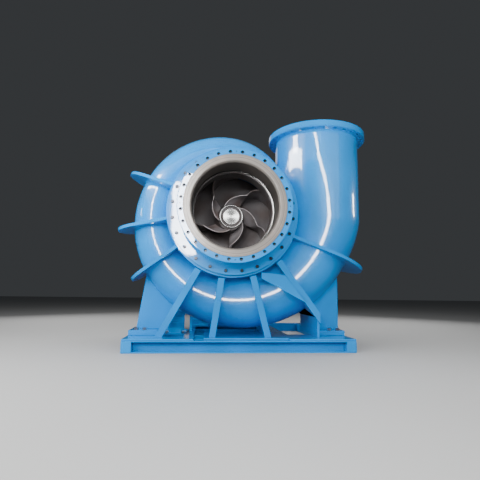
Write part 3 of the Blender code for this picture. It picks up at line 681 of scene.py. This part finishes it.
# True for the walls and floors of the holes in the suction flange, which get dark steel as painted shade
def in_hole(centre):
    low = SUCTION_FACE - SUCTION_FLANGE_T + 0.003
    high = SUCTION_FACE - FACE_STEP - 0.001
    return low < -centre.y < high and LINER_R + 0.01 < off_axis(centre) < SUCTION_FLANGE_R - 0.015


# The suction flange's holes are blind, their walls and floors dark steel as painted shade; the discharge
# flange's go through
def make_pipe_flanges():
    face = SUCTION_FACE - FACE_STEP
    back = SUCTION_FACE - SUCTION_FLANGE_T
    profile = ring_profile(SUCTION_FLANGE_R, LINER_R + HAIR_GAP, face, back)
    rim = drilled_flange(profile, AXIS_POINT, SUCTION_WAY, back + 0.006, face + 0.010, mark=0.012)
    item = add_piece("suction_flange_drilled", rim, "cast_paint", "frame", ["suction_flange"])
    # Dark steel inside the holes is painted shade
    paint_faces(item, "black_bolt", in_hole)
    top = DISCHARGE_TOP
    low = top - DISCHARGE_FLANGE_T
    bore = section_radius(360) - CASING_WALL
    outer = DISCHARGE_FLANGE_R
    notch = outer - 0.007
    profile = [(bore, top), (outer, top), (outer, low + 0.012), (notch, low + 0.009), (notch, low + 0.003),
               (outer - 0.002, low), (bore, low)]
    rim = drilled_flange(profile, RIGHT * DISCHARGE_X, UP, low - 0.1, top + 0.1)
    add_piece("discharge_flange_drilled", rim, "cast_paint", "frame", ["discharge_flange"])


def make_suction_cover():
    back = COVER_FACE - COVER_T
    neck_end = SUCTION_FACE - SUCTION_FLANGE_T - HAIR_GAP
    liner_seat = LINER_END - 0.01
    inner = LINER_R + HAIR_GAP
    fillet = [(NECK_R + NECK_FILLET * (1 - math.sin(turn)), COVER_FACE + NECK_FILLET * (1 - math.cos(turn)))
              for turn in reversed(quarter(18))]
    profile = [(inner, neck_end), (NECK_R, neck_end), *fillet, (COVER_R, COVER_FACE), (COVER_R, back),
               (SPIGOT_R, back), (SPIGOT_R, back - SPIGOT_L), (THROAT_R, back - SPIGOT_L),
               (THROAT_R, liner_seat), (inner, liner_seat)]
    cover = turned(profile, steps=TURN_STEPS)
    soften(cover, 0.005, angle=50)
    add_piece("suction_cover_cast", cover, "cast_paint", "frame", ["suction_cover"])
    for name, node, front in (("front_flange_turned", "casing_front_flange", back - HAIR_GAP),
                              ("rear_flange_turned", "casing_rear_flange", CASING_FLANGE_T - back)):
        profile = ring_profile(CASING_FLANGE_R, DRUM_R + HAIR_GAP, front, front - CASING_FLANGE_T + HAIR_GAP)
        rim = turned(profile, steps=TURN_STEPS, edge=sizes().cast_round)
        add_piece(name, rim, "cast_paint", "frame", [node])


# The machined face has a rounded lip, and the bore behind it is the same iron, darker and more metallic
def make_bore():
    face = SUCTION_FACE
    ledge = face - FACE_STEP + HAIR_GAP
    lip = [(BORE_R + LIP_WIDTH * (1 - math.cos(turn)), face - LIP_DEPTH * (1 - math.sin(turn)))
           for turn in quarter(15)]
    profile = [*lip, (FACE_RING_R - 0.002, face), (FACE_RING_R, face - 0.0015), (FACE_RING_R, ledge),
               (LINER_R, ledge), (LINER_R, LINER_END), (BORE_R, LINER_END)]
    ring = turned(profile, steps=TURN_STEPS)
    item = add_piece("suction_face_machined", ring, "face_iron", "frame", ["suction_face_ring"])
    paint_faces(item, "bore_iron", lambda centre: -centre.y < face - 0.030)
    profile = ring_profile(THROAT_R - 0.0005, EYE_R + 0.004, LINER_END - 0.0105, LINER_END - 0.040)
    wear = turned(profile, steps=TURN_STEPS, edge=0.002)
    add_piece("wear_ring_turned", wear, "bright_steel", "frame", ["wear_ring"])


# The rib follows the scroll's wall inside and a round rim outside, and ends
# at heels on the casing's flanges. Its parts that meet metal are let in.
def rib_outline(bm, section, tip):
    crest = section + RIB_CREST
    reach = tip - (SCROLL_INNER + section)
    rim = (reach + crest ** 2 / reach) / 2
    centre = tip - rim
    heel = Vector((CASING_FLANGE_R + HAIR_GAP, DRUM_HALF + RIB_HEEL))
    away = heel - Vector((centre, 0))
    touch = math.atan2(away.y, away.x) - math.acos(rim / away.length)
    tube = SCROLL_INNER + section
    inside = section - RIB_SINK
    drum = DRUM_R - RIB_DRUM_SINK
    root = math.acos((drum - tube) / inside)
    flank = DRUM_HALF - RIB_FACE_SINK
    shoulder = (centre + rim * math.cos(touch), rim * math.sin(touch))
    points = [shoulder, tuple(heel), (heel.x, flank), (drum, flank)]
    half = [bm.verts.new((x, y, 0)) for x, y in points]
    other = [bm.verts.new((x, -y, 0)) for x, y in points]
    for side in (half, other):
        for first, second in zip(side, side[1:]):
            bm.edges.new((first, second))
    start = bm.verts.new((tube + inside * math.cos(root), inside * math.sin(root), 0))
    end = Vector((start.co.x, -start.co.y, 0))
    bm.edges.new((half[-1], start))
    arcs = ((half[0], (centre, 0, 0), -2 * touch, 40), (start, (tube, 0, 0), -2 * root, 48))
    for vert, middle, angle, steps in arcs:
        bmesh.ops.spin(bm, geom=[vert], cent=middle, axis=UP, angle=angle, steps=steps)
    foot = min(bm.verts, key=lambda vert: (vert.co - end).length)
    bm.edges.new((foot, other[-1]))
    bmesh.ops.remove_doubles(bm, verts=bm.verts, dist=0.0001)
    return bmesh.ops.contextual_create(bm, geom=bm.edges[:])["faces"]


# The weld beads lie in the two corners between a rib and the scroll
def rib_welds(section, outward, side):
    bm = bmesh.new()
    middle = AXIS_POINT + outward * (SCROLL_INNER + section)
    radius = section + 0.004
    for offset in (-1, 1):
        points = []
        for i in range(WELD_STEPS + 1):
            swing = math.radians(WELD_SWING * (2 * i / WELD_STEPS - 1))
            round_section = outward * math.cos(swing) + DEPTH * math.sin(swing)
            points.append(middle + round_section * radius + side * offset * (RIB_T / 2 + 0.003))
        add_bead(bm, points, sizes().weld_size)
    bmesh.ops.recalc_face_normals(bm, faces=bm.faces)
    return bm


def make_ribs():
    for name, angle, tip in RIBS:
        section = section_radius(angle)
        turn = math.radians(angle)
        outward = Vector((math.cos(turn), 0, math.sin(turn)))
        side = outward.cross(DEPTH)
        bm = bmesh.new()
        faces = rib_outline(bm, section, tip)
        bmesh.ops.translate(bm, verts=bm.verts, vec=UP * -RIB_T / 2)
        grown = bmesh.ops.extrude_face_region(bm, geom=faces)
        top = [item for item in grown["geom"] if isinstance(item, bmesh.types.BMVert)]
        bmesh.ops.translate(bm, verts=top, vec=UP * RIB_T)
        bmesh.ops.recalc_face_normals(bm, faces=bm.faces)
        soften(bm, sizes().edge_round, angle=60)
        place = Matrix((outward, DEPTH, side)).transposed().to_4x4()
        bmesh.ops.transform(bm, matrix=Matrix.Translation(AXIS_POINT) @ place, verts=bm.verts)
        add_piece(name + "_plate", bm, "plate_paint", "frame", [name])
        add_piece(name + "_weld", rib_welds(section, outward, side), "cast_paint", "frame")


# Makes finished copies of CAD nodes, with their edges rounded
def finish_nodes(nodes, ending, finish, edge, shortest, body="frame"):
    for node in nodes:
        bm = softened_copy(node, edge, shortest)
        add_piece(node + ending, bm, finish, body, [node], crisp=30)


def make_legs():
    finish_nodes(("leg_1", "leg_2", "leg_3", "leg_4", "leg_strut"), "_plate", "plate_paint",
                 sizes().edge_round, 0.12)


def make_supports():
    finish_nodes(("support_left", "support_right", "foot_left", "foot_right"), "_plate", "plate_paint",
                 sizes().edge_round, 0.10)


def make_base():
    nodes = [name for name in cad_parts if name.startswith(("base_", "deck_"))]
    finish_nodes(sorted(nodes), "_steel", "plate_paint", 0.005, 0.03)


# Angle of a vane's middle surface in degrees. Its inlet edge sweeps round the
# hub, and the sweep fades with depth until the vane stands out from the hub.
def vane_angle(radius, height):
    if radius < VANE_EDGE_R:
        fade = min(1.0, max(0.0, (VANE_FRONT - height) / VANE_SWEEP_DEPTH))
        return VANE_BEND * ((VANE_EDGE_R - radius) / VANE_BEND_SPAN) ** VANE_BEND_POWER * (1 - fade)
    return -VANE_TAIL * ((radius - VANE_EDGE_R) / (IMPELLER_R - VANE_EDGE_R)) ** 2


# Height of the vanes' inlet edge along the axis
def inlet_height(radius):
    rise = (radius - VANE_EDGE_R) / (VANE_TOP_R - VANE_EDGE_R)
    return VANE_FRONT + (VANE_SHROUD_FRONT - VANE_FRONT) * max(0.0, rise)


# A vane as a thin sheet along its middle surface, given its thickness, which
# tapers towards the inlet edge. The water passage is cut out of it later.
def add_vane(bm, start_angle):
    tip = IMPELLER_R - 0.004
    front = 0.40
    back = -0.24
    vane = bmesh.new()
    bmesh.ops.create_grid(vane, x_segments=VANE_CELLS, y_segments=VANE_CELLS, size=0.5)
    for vert in vane.verts:
        radius = VANE_ROOT_R + (tip - VANE_ROOT_R) * (vert.co.x + 0.5)
        height = back + (front - back) * (vert.co.y + 0.5)
        turn = math.radians(start_angle + vane_angle(radius, height))
        vert.co = round_axis(turn, radius, height)
    bmesh.ops.recalc_face_normals(vane, faces=vane.faces)
    bmesh.ops.solidify(vane, geom=vane.faces[:], thickness=VANE_T)
    for vert in vane.verts:
        radius = off_axis(vert.co)
        height = -vert.co.y
        middle = math.radians(start_angle + vane_angle(radius, height))
        turn = math.atan2(vert.co.z - AXIS_Z, vert.co.x)
        aside = (turn - middle + math.pi) % math.tau - math.pi
        behind = (inlet_height(radius) - height) / VANE_TAPER
        turn = middle + aside * min(1.0, max(VANE_EDGE_SHARE, behind))
        vert.co = round_axis(turn, radius, height)
    join(bm, vane)


def make_impeller():
    front = turned([
        (EYE_R, EYE_FRONT), (EYE_R + 0.028, EYE_FRONT), (EYE_R + 0.030, 0.36), (EYE_R + 0.040, 0.29),
        (EYE_R + 0.060, 0.24), (EYE_R + 0.095, 0.210), (IMPELLER_R, 0.19), (IMPELLER_R, 0.168),
        (EYE_R + 0.090, 0.182), (EYE_R + 0.050, 0.21), (EYE_R + 0.022, 0.27), (EYE_R + 0.006, 0.34),
        (EYE_R, 0.42),
    ], steps=IMPELLER_STEPS)
    hub = turned([
        (0, 0.174), (NUT_R - 0.004, 0.174), (NUT_R + 0.004, 0.160), (NUT_R + 0.010, 0.12),
        (0.175, 0.02), (0.196, -0.048), (0.230, -0.100), (0.272, -0.135), (0.330, -0.160),
        (0.450, -0.174), (IMPELLER_R, -0.180), (IMPELLER_R, -0.205), (0.160, -0.205),
        (0.160, HUB_BACK), (0, HUB_BACK),
    ], steps=IMPELLER_STEPS)
    passage = turned([
        (0.10, 0.150), (NUT_R + 0.008, VANE_FRONT), (VANE_EDGE_R, VANE_FRONT),
        (VANE_TOP_R, VANE_SHROUD_FRONT), (EYE_R + 0.056, 0.218), (IMPELLER_R - 0.001, 0.180),
        (IMPELLER_R - 0.001, -0.190), (0.10, -0.190),
    ], steps=IMPELLER_STEPS)
    vanes = bmesh.new()
    for i in range(VANE_COUNT):
        add_vane(vanes, VANE_EDGE_ANGLE + 360 / VANE_COUNT * i)
    vanes = carve(vanes, passage, "INTERSECT")
    add_piece("impeller_vanes", vanes, "dark_iron", "rotor", crisp=40, flat=False)
    shroud = bmesh.new()
    for part in (front, hub):
        join(shroud, part)
    # The shrouds take the darker copy of the dark iron as painted shade
    item = add_piece("impeller_shrouds", shroud, "deep_iron", "rotor", ["impeller"], 40, False)
    paint_faces(item, "bright_steel", lambda centre: off_axis(centre) < NUT_R + 0.009 and -centre.y > 0.120)


# The nut's face is a shallow dish, a groove round it and a rounded rim,
# each point given by its radius and its depth below the rim. The groove's
# faces get the dark iron as painted shade.
def make_nut():
    dish = [(0, 0.017), (0.009, 0.017), (0.013, 0.019), (0.020, 0.018), (0.040, 0.0155), (0.092, 0.0090),
            (0.097, 0.0085), (0.100, 0.011)]
    groove = [(0.102, GROOVE_DEPTH), (0.124, GROOVE_DEPTH)]
    rim = [(0.126, 0.006), (0.130, 0.001), (0.135, 0), (0.140, 0.001), (0.144, 0.004), (NUT_R, 0.010)]
    back = [(NUT_R, NUT_DEPTH - HAIR_GAP), (0, NUT_DEPTH - HAIR_GAP)]
    nut = turned([(radius, NUT_FACE - deep) for radius, deep in dish + groove + rim + back])
    item = add_piece("impeller_nut_turned", nut, "bright_steel", "rotor", ["impeller_nut"], 50)
    floor = NUT_FACE - GROOVE_DEPTH - 0.01
    # Dark iron in the groove is painted shade
    paint_faces(item, "dark_iron", lambda centre: 0.1005 < off_axis(centre) < 0.1255 and -centre.y > floor)


def make_drive_end():
    finish_nodes(["rear_cover"], "_finished", "cast_paint", 0.005, 0.0)
    finish_nodes(["bearing_bracket", "bearing_housing"], "_finished", "cast_paint", 0.0, 0.0)
    finish_nodes(["bearing_end_cover"], "_finished", "cast_paint", 0.004, 0.0)
    finish_nodes(["bearing_pedestal"], "_finished", "plate_paint", 0.005, 0.12)
    finish_nodes(["pedestal_foot"], "_finished", "plate_paint", 0.005, 0.0)
    finish_nodes(["shaft"], "_finished", "face_iron", 0.0, 0.0, "rotor")
    finish_nodes(["coupling_half"], "_finished", "dark_iron", 0.005, 0.0, "rotor")


# The small motor: barrel, fins round it, a foot block and a terminal box
def make_oil_unit():
    low, high = [Vector(corner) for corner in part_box("unit_motor")]
    radius = (high.y - low.y) / 2
    centre = Vector((low.x, (low.y + high.y) / 2, high.z - radius))
    length = high.x - low.x
    barrel = radius * 0.86
    profile = [(0, 0), (radius * 0.80, 0), (barrel, 0.012), (barrel, length), (0, length)]
    bm = turned(profile, centre, RIGHT, 72)
    fin = Matrix.Diagonal((radius * 0.155, 0.005, length * 0.90, 1))
    for point in circle_points(sizes().motor_fins, radius * 0.92, centre, RIGHT, UP):
        place = frame_at(point + RIGHT * length * 0.53, RIGHT, (point - centre).normalized())
        bmesh.ops.create_cube(bm, size=1.0, matrix=place @ fin)
    add_box(bm, (low.x + 0.04, centre.y - 0.110, low.z),
            (high.x - 0.04, centre.y + 0.110, centre.z - radius * 0.72))
    add_box(bm, (low.x + 0.06, centre.y - 0.05, centre.z + radius * 0.80),
            (low.x + 0.16, centre.y + 0.05, high.z - 0.001))
    add_piece("unit_motor_finned", bm, "plate_paint", "frame", ["unit_motor"], 30)
    finish_nodes(["unit_motor_shield"], "_finished", "shield_grey", 0.006, 0.0)
    finish_nodes(["unit_bracket"], "_finished", "plate_paint", 0.004, 0.0)
    finish_nodes(["unit_plate"], "_finished", "plate_paint", 0.002, 0.0)
    finish_nodes(["unit_pump"], "_finished", "plate_paint", 0.0, 0.0)


def make_cover_bolts():
    size = sizes()
    bm = bmesh.new()
    for centre, axis in ((AXIS_POINT - DEPTH * COVER_FACE, SUCTION_WAY),
                         (AXIS_POINT + DEPTH * (COVER_FACE + REAR_COVER_STEP), DEPTH)):
        for point in circle_points(size.cover_bolts, size.cover_circle / 2, centre, axis, RIGHT, 158.5):
            add_bolt(bm, point, axis, size.bolt_width, 0.020)
    add_piece("cover_bolts", bm, "black_bolt", "frame")


def make_foot_bolts():
    bm = bmesh.new()
    for node, columns in FOOT_BOLT_COLUMNS:
        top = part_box(node)[1][2]
        for x in columns:
            for y in (-FOOT_BOLT_Y, FOOT_BOLT_Y):
                add_bolt(bm, Vector((x, y, top)), UP, sizes().foot_bolt_width, 0.024)
    add_piece("foot_bolts", bm, "plated_bolt", "frame")


# Bolts of the bearing's end cover, of its bracket and of the pedestal's foot
def make_drive_bolts():
    bm = bmesh.new()
    rear = Vector((0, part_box("bearing_end_cover")[1][1], AXIS_Z))
    for point in circle_points(END_COVER_BOLTS, END_COVER_CIRCLE / 2, rear, DEPTH, RIGHT, 22.5):
        add_bolt(bm, point, DEPTH, 0.024, 0.014)
    joint = Vector((0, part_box("bearing_bracket")[1][1] + BRACKET_STEP, AXIS_Z))
    for point in circle_points(BRACKET_BOLTS, BRACKET_CIRCLE / 2, joint, DEPTH, RIGHT, 15):
        add_bolt(bm, point, DEPTH, 0.030, 0.018)
    low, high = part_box("pedestal_foot")
    for x in (low[0] + 0.04, high[0] - 0.04):
        for y in (low[1] + 0.05, high[1] - 0.05):
            add_bolt(bm, Vector((x, y, high[2])), UP, 0.036, 0.020)
    add_piece("drive_bolts", bm, "plated_bolt", "frame")


# Runs the functions that make an operator's pieces
class PumpOperator:
    bl_options = {"REGISTER"}
    makers = ()

    def execute(self, context):
        for maker in self.makers:
            maker()
        return {"FINISHED"}


class PUMP_OT_finishes(PumpOperator, bpy.types.Operator):
    """Make the paints, machined faces and steels"""
    bl_idname = "pump.finishes"
    bl_label = "Finishes"
    makers = (make_finishes,)


class PUMP_OT_scroll(PumpOperator, bpy.types.Operator):
    """Cast the hollow scroll with its discharge pipe"""
    bl_idname = "pump.scroll"
    bl_label = "Scroll casing"
    makers = (make_scroll,)


class PUMP_OT_flanges(PumpOperator, bpy.types.Operator):
    """Turn and drill the suction and discharge flanges"""
    bl_idname = "pump.flanges"
    bl_label = "Pipe flanges"
    makers = (make_pipe_flanges,)


class PUMP_OT_suction(PumpOperator, bpy.types.Operator):
    """Turn the suction cover, the casing flanges, the machined face and the wear ring"""
    bl_idname = "pump.suction"
    bl_label = "Suction side"
    makers = (make_suction_cover, make_bore)


class PUMP_OT_ribs(PumpOperator, bpy.types.Operator):
    """Cut the ribs round the scroll and weld them on"""
    bl_idname = "pump.ribs"
    bl_label = "Ribs"
    makers = (make_ribs,)


class PUMP_OT_stand(PumpOperator, bpy.types.Operator):
    """Make the legs, the strut, the upright supports and their feet"""
    bl_idname = "pump.stand"
    bl_label = "Legs and supports"
    makers = (make_legs, make_supports)


class PUMP_OT_base(PumpOperator, bpy.types.Operator):
    """Make the channel beams and the deck plates of the base frame"""
    bl_idname = "pump.base"
    bl_label = "Base frame"
    makers = (make_base,)


class PUMP_OT_rotor(PumpOperator, bpy.types.Operator):
    """Make the impeller and its nut"""
    bl_idname = "pump.rotor"
    bl_label = "Impeller"
    makers = (make_impeller, make_nut)


class PUMP_OT_drive(PumpOperator, bpy.types.Operator):
    """Make the rear cover, bearing parts, shaft and coupling"""
    bl_idname = "pump.drive"
    bl_label = "Drive end"
    makers = (make_drive_end,)


class PUMP_OT_oil_unit(PumpOperator, bpy.types.Operator):
    """Make the small finned motor with its pump on the base"""
    bl_idname = "pump.oil_unit"
    bl_label = "Oil unit"
    makers = (make_oil_unit,)


class PUMP_OT_fasteners(PumpOperator, bpy.types.Operator):
    """Set the bolts in the covers, feet and drive end"""
    bl_idname = "pump.fasteners"
    bl_label = "Bolts"
    makers = (make_cover_bolts, make_foot_bolts, make_drive_bolts)


# The camera's lens in millimetres, its place, and its angles in radians
LENS = 29.544
CAMERA_AT = (-0.3358, -4.9452, 0.6674)
YAW = 0.0944
PITCH = 0.1286
ROLL = 0.0119

# Groups of pieces that have lights of their own. A light for ALL isn't linked
# to any group, so it shines on every piece.
SUCTION = ("suction_cover_cast", "suction_flange_drilled", "suction_face_machined", "front_flange_turned",
           "cover_bolts")
SCROLL = ("scroll_casing",)
BORE = ("suction_face_machined",)
UNIT = ("unit_motor_finned", "unit_motor_shield_finished", "unit_bracket_finished", "unit_pump_finished",
        "unit_plate_finished")
IMPELLER = ("impeller_vanes", "impeller_shrouds")
NUT = ("impeller_nut_turned", "impeller_shrouds")
ALL = ()

# Soft lights: ends of the middle line, breadth, aim, brightness, whether it
# shows as light (wash), as a reflection (gloss) or both, and on which pieces
LIGHTS = (
    ("wash_left_high", (-3.9, -1.0, 3.7), (-2.6, -3.4, 3.7), 1.8, (0.0, -0.3, 1.2), 10.5, "wash", ALL),
    ("wash_left_low", (-4.8, -2.2, 2.0), (-3.2, -4.6, 2.0), 1.6, (-0.2, -0.2, 1.2), 16.0, "wash", ALL),
    ("wash_front", (-2.0, -5.6, 2.2), (1.4, -5.6, 2.2), 1.4, (0.2, 0.0, 1.0), 17.5, "wash", ALL),
    ("wash_right", (2.6, -4.0, 2.6), (3.6, -2.4, 2.6), 1.6, (0.4, 0.0, 1.4), 8.0, "wash", ALL),
    ("roof", (-2.5, -0.5, 6.2), (2.5, -0.5, 6.2), 4.0, (0.0, 0.0, 0.0), 4.5, "wash", ALL),
    ("wash_rear_right", (3.6, 5.2, 3.4), (5.2, 3.4, 3.4), 2.0, (0.0, 0.5, 1.0), 12.0, "wash", ALL),
    ("wash_rear_left", (-4.8, 3.8, 3.2), (-3.2, 5.6, 3.2), 2.0, (0.0, 0.5, 1.0), 12.0, "wash", ALL),
    ("rear_shine", (-2.0, 6.0, 4.0), (2.0, 6.0, 4.0), 3.0, (0.0, 0.5, 1.0), 0.8, "gloss", ALL),
    ("glare", (-0.86, -5.3, 1.40), (-0.86, -5.3, 3.20), 0.60, (-0.5, 0.0, 1.5), 100.0, "gloss", SUCTION),
    ("eye", (-1.5, -3.4, 2.3), (-0.3, -3.8, 2.3), 0.8, (0.0, -0.2, 1.55), 75.0, "both", IMPELLER),
    ("eye_front", (-0.8, -5.4, 1.1), (0.8, -5.4, 1.1), 1.2, (0.0, -0.2, 1.55), 14.0, "wash", IMPELLER),
    ("nut_band", (-1.7, -5.2, 2.5), (2.4, -5.2, 2.5), 1.0, (0.0, -0.2, 1.57), 5.0, "gloss", NUT),
    ("nut_fill", (-2.2, -5.2, 2.4), (2.9, -5.2, 2.4), 4.5, (0.0, -0.2, 1.57), 0.35, "gloss", NUT),
    ("bore_wash", (-2.6, -2.6, 1.4), (-2.6, -2.6, 2.2), 0.8, (0.46, -0.75, 1.7), 9.0, "wash", BORE),
    ("unit_wash", (-0.9, -4.6, 0.75), (0.1, -4.6, 0.75), 0.4, (-0.7, 0.4, 0.4), 130.0, "wash", UNIT),
    ("spot_low", (-3.6, 0.1, 3.68), (-2.6, -2.9, 3.68), 0.45, (0.8, -0.3, 2.3), 60.0, "gloss", SCROLL),
    ("spot_high", (-3.4, -1.0, 4.10), (-3.0, -2.0, 4.10), 0.50, (0.8, -0.3, 2.5), 60.0, "gloss", SCROLL),
    ("upper_panel", (-3.4, -3.0, 4.7), (0.6, -5.0, 4.7), 2.0, (0.8, 0.0, 2.3), 1.6, "gloss", SCROLL),
    ("left_panel", (-4.2, -1.0, 4.95), (-4.2, -4.8, 4.95), 1.5, (0.8, 0.0, 2.3), 1.8, "gloss", SCROLL),
    ("right_panel", (0.4, -5.2, 2.9), (4.6, -3.6, 2.9), 3.0, (0.9, 0.0, 1.8), 0.9, "gloss", SCROLL),
    ("right_edge", (4.5, 0.1, 1.95), (4.5, 0.1, 2.60), 0.25, (1.5, -0.4, 1.7), 45.0, "gloss", SCROLL),
    ("left_edge", (-4.5, -0.1, 2.40), (-4.5, -0.1, 2.80), 0.25, (-1.1, -0.2, 1.6), 30.0, "gloss", SCROLL),
)

# A strip light in front of the pump, as (x, z) points. Its reflection is the
# bright line along the scroll's crest and up the discharge, and it is
# narrower on the discharge's side, above PIPE_START.
CREST_LINE = ((-1.98, 2.90), (-2.10, 2.45), (-1.86, 1.85), (-1.62, 1.30), (-1.25, 0.84), (-0.80, 0.46),
              (-0.30, 0.26), (0.35, 0.27), (0.85, 0.50), (1.24, 0.92), (1.48, 1.34), (1.54, 1.75),
              (1.46, 2.09), (1.29, 2.36), (0.97, 2.60), (0.73, 2.85), (0.54, 3.21))
CREST_Y = -1.85
CREST_AIM = (0.3, 0.0, 1.6)
CREST_BREADTH = 0.24
PIPE_START = 1.8
PIPE_BREADTH = 0.15
CREST_BRIGHTNESS = 60.0

ROOM_TINT = (0.80, 0.86, 0.92, 1.0)
ROOM_BRIGHTNESS = 0.05
FLOOR_HALF = 30.0


# An area light. Its power in watts follows from its brightness and its size.
def add_light(name, start, end, breadth, aim, brightness, kind, pieces):
    start, end, aim = Vector(start), Vector(end), Vector(aim)
    middle = (start + end) / 2
    back = (middle - aim).normalized()
    along = end - start
    light = bpy.data.lights.new(name, "AREA")
    light.shape = "RECTANGLE"
    light.size = along.length
    light.size_y = breadth
    light.energy = brightness * math.pi * along.length * breadth
    item = bpy.data.objects.new(name, light)
    item.matrix_world = frame_at(middle, back, along - back * along.dot(back))
    item.visible_camera = False
    item.visible_diffuse = kind != "gloss"
    item.visible_glossy = kind != "wash"
    bpy.context.scene.collection.objects.link(item)
    if pieces:
        receivers = bpy.data.collections.new(name + "_receivers")
        for piece in pieces:
            receivers.objects.link(bpy.data.objects[piece])
        item.light_linking.receiver_collection = receivers


def make_lights():
    for row in LIGHTS:
        add_light(*row)
    for i, (start, end) in enumerate(zip(CREST_LINE, CREST_LINE[1:])):
        on_pipe = start[0] > 0 and start[1] > PIPE_START
        breadth = PIPE_BREADTH if on_pipe else CREST_BREADTH
        ends = [(x, CREST_Y, z) for x, z in (start, end)]
        add_light("crest_%02d" % i, *ends, breadth, CREST_AIM, CREST_BRIGHTNESS, "gloss", SCROLL)
    world = bpy.data.worlds.new("studio")
    world.use_nodes = True
    background = world.node_tree.nodes["Background"]
    background.inputs["Color"].default_value = ROOM_TINT
    background.inputs["Strength"].default_value = ROOM_BRIGHTNESS
    bpy.context.scene.world = world


def make_camera():
    data = bpy.data.cameras.new("photo_camera")
    data.lens = LENS
    data.sensor_width = 36.0
    data.clip_end = 200.0
    item = bpy.data.objects.new("photo_camera", data)
    turns = ((-YAW, "Z"), (math.pi / 2 + PITCH, "X"), (ROLL, "Z"))
    aim = Matrix.Identity(4)
    for angle, axis in turns:
        aim = aim @ Matrix.Rotation(angle, 4, axis)
    item.matrix_world = Matrix.Translation(CAMERA_AT) @ aim
    bpy.context.scene.collection.objects.link(item)
    bpy.context.scene.camera = item


# The floor stays out of reflections, so that it doesn't pale the dark paint
def make_floor():
    bm = bmesh.new()
    bmesh.ops.create_grid(bm, x_segments=8, y_segments=8, size=FLOOR_HALF)
    item = add_object("studio_floor", bm)
    item.data.materials.append(floor_finish("pale_floor"))
    item.visible_glossy = False


class PUMP_OT_stage(PumpOperator, bpy.types.Operator):
    """Lay the floor and set the lights and the camera"""
    bl_idname = "pump.stage"
    bl_label = "Stage"
    makers = (make_floor, make_lights, make_camera)


OPERATORS = (PUMP_OT_finishes, PUMP_OT_scroll, PUMP_OT_flanges, PUMP_OT_suction, PUMP_OT_ribs, PUMP_OT_stand,
             PUMP_OT_base, PUMP_OT_rotor, PUMP_OT_drive, PUMP_OT_oil_unit, PUMP_OT_fasteners, PUMP_OT_stage)


class PUMP_PT_panel(bpy.types.Panel):
    """Sizes, colours and steps of the pump"""
    bl_idname = "PUMP_PT_panel"
    bl_label = "Dry-installed pump"
    bl_space_type = "VIEW_3D"
    bl_region_type = "UI"
    bl_category = "Pump"

    def draw(self, context):
        for group in (context.scene.pump_sizes, context.scene.pump_colours):
            column = self.layout.column(align=True)
            for key in group.__annotations__:
                column.prop(group, key)
        column = self.layout.column(align=True)
        for operator in OPERATORS:
            column.operator(operator.bl_idname)


CLASSES = (PumpSizes, PumpColours, *OPERATORS, PUMP_PT_panel)


def register():
    for item in CLASSES:
        bpy.utils.register_class(item)
    bpy.types.Scene.pump_sizes = PointerProperty(type=PumpSizes)
    bpy.types.Scene.pump_colours = PointerProperty(type=PumpColours)


def unregister():
    del bpy.types.Scene.pump_colours
    del bpy.types.Scene.pump_sizes
    for item in reversed(CLASSES):
        bpy.utils.unregister_class(item)


def main():
    register()
    for operator in OPERATORS:
        group, name = operator.bl_idname.split(".")
        getattr(getattr(bpy.ops, group), name)()


if __name__ == "__main__":
    main()
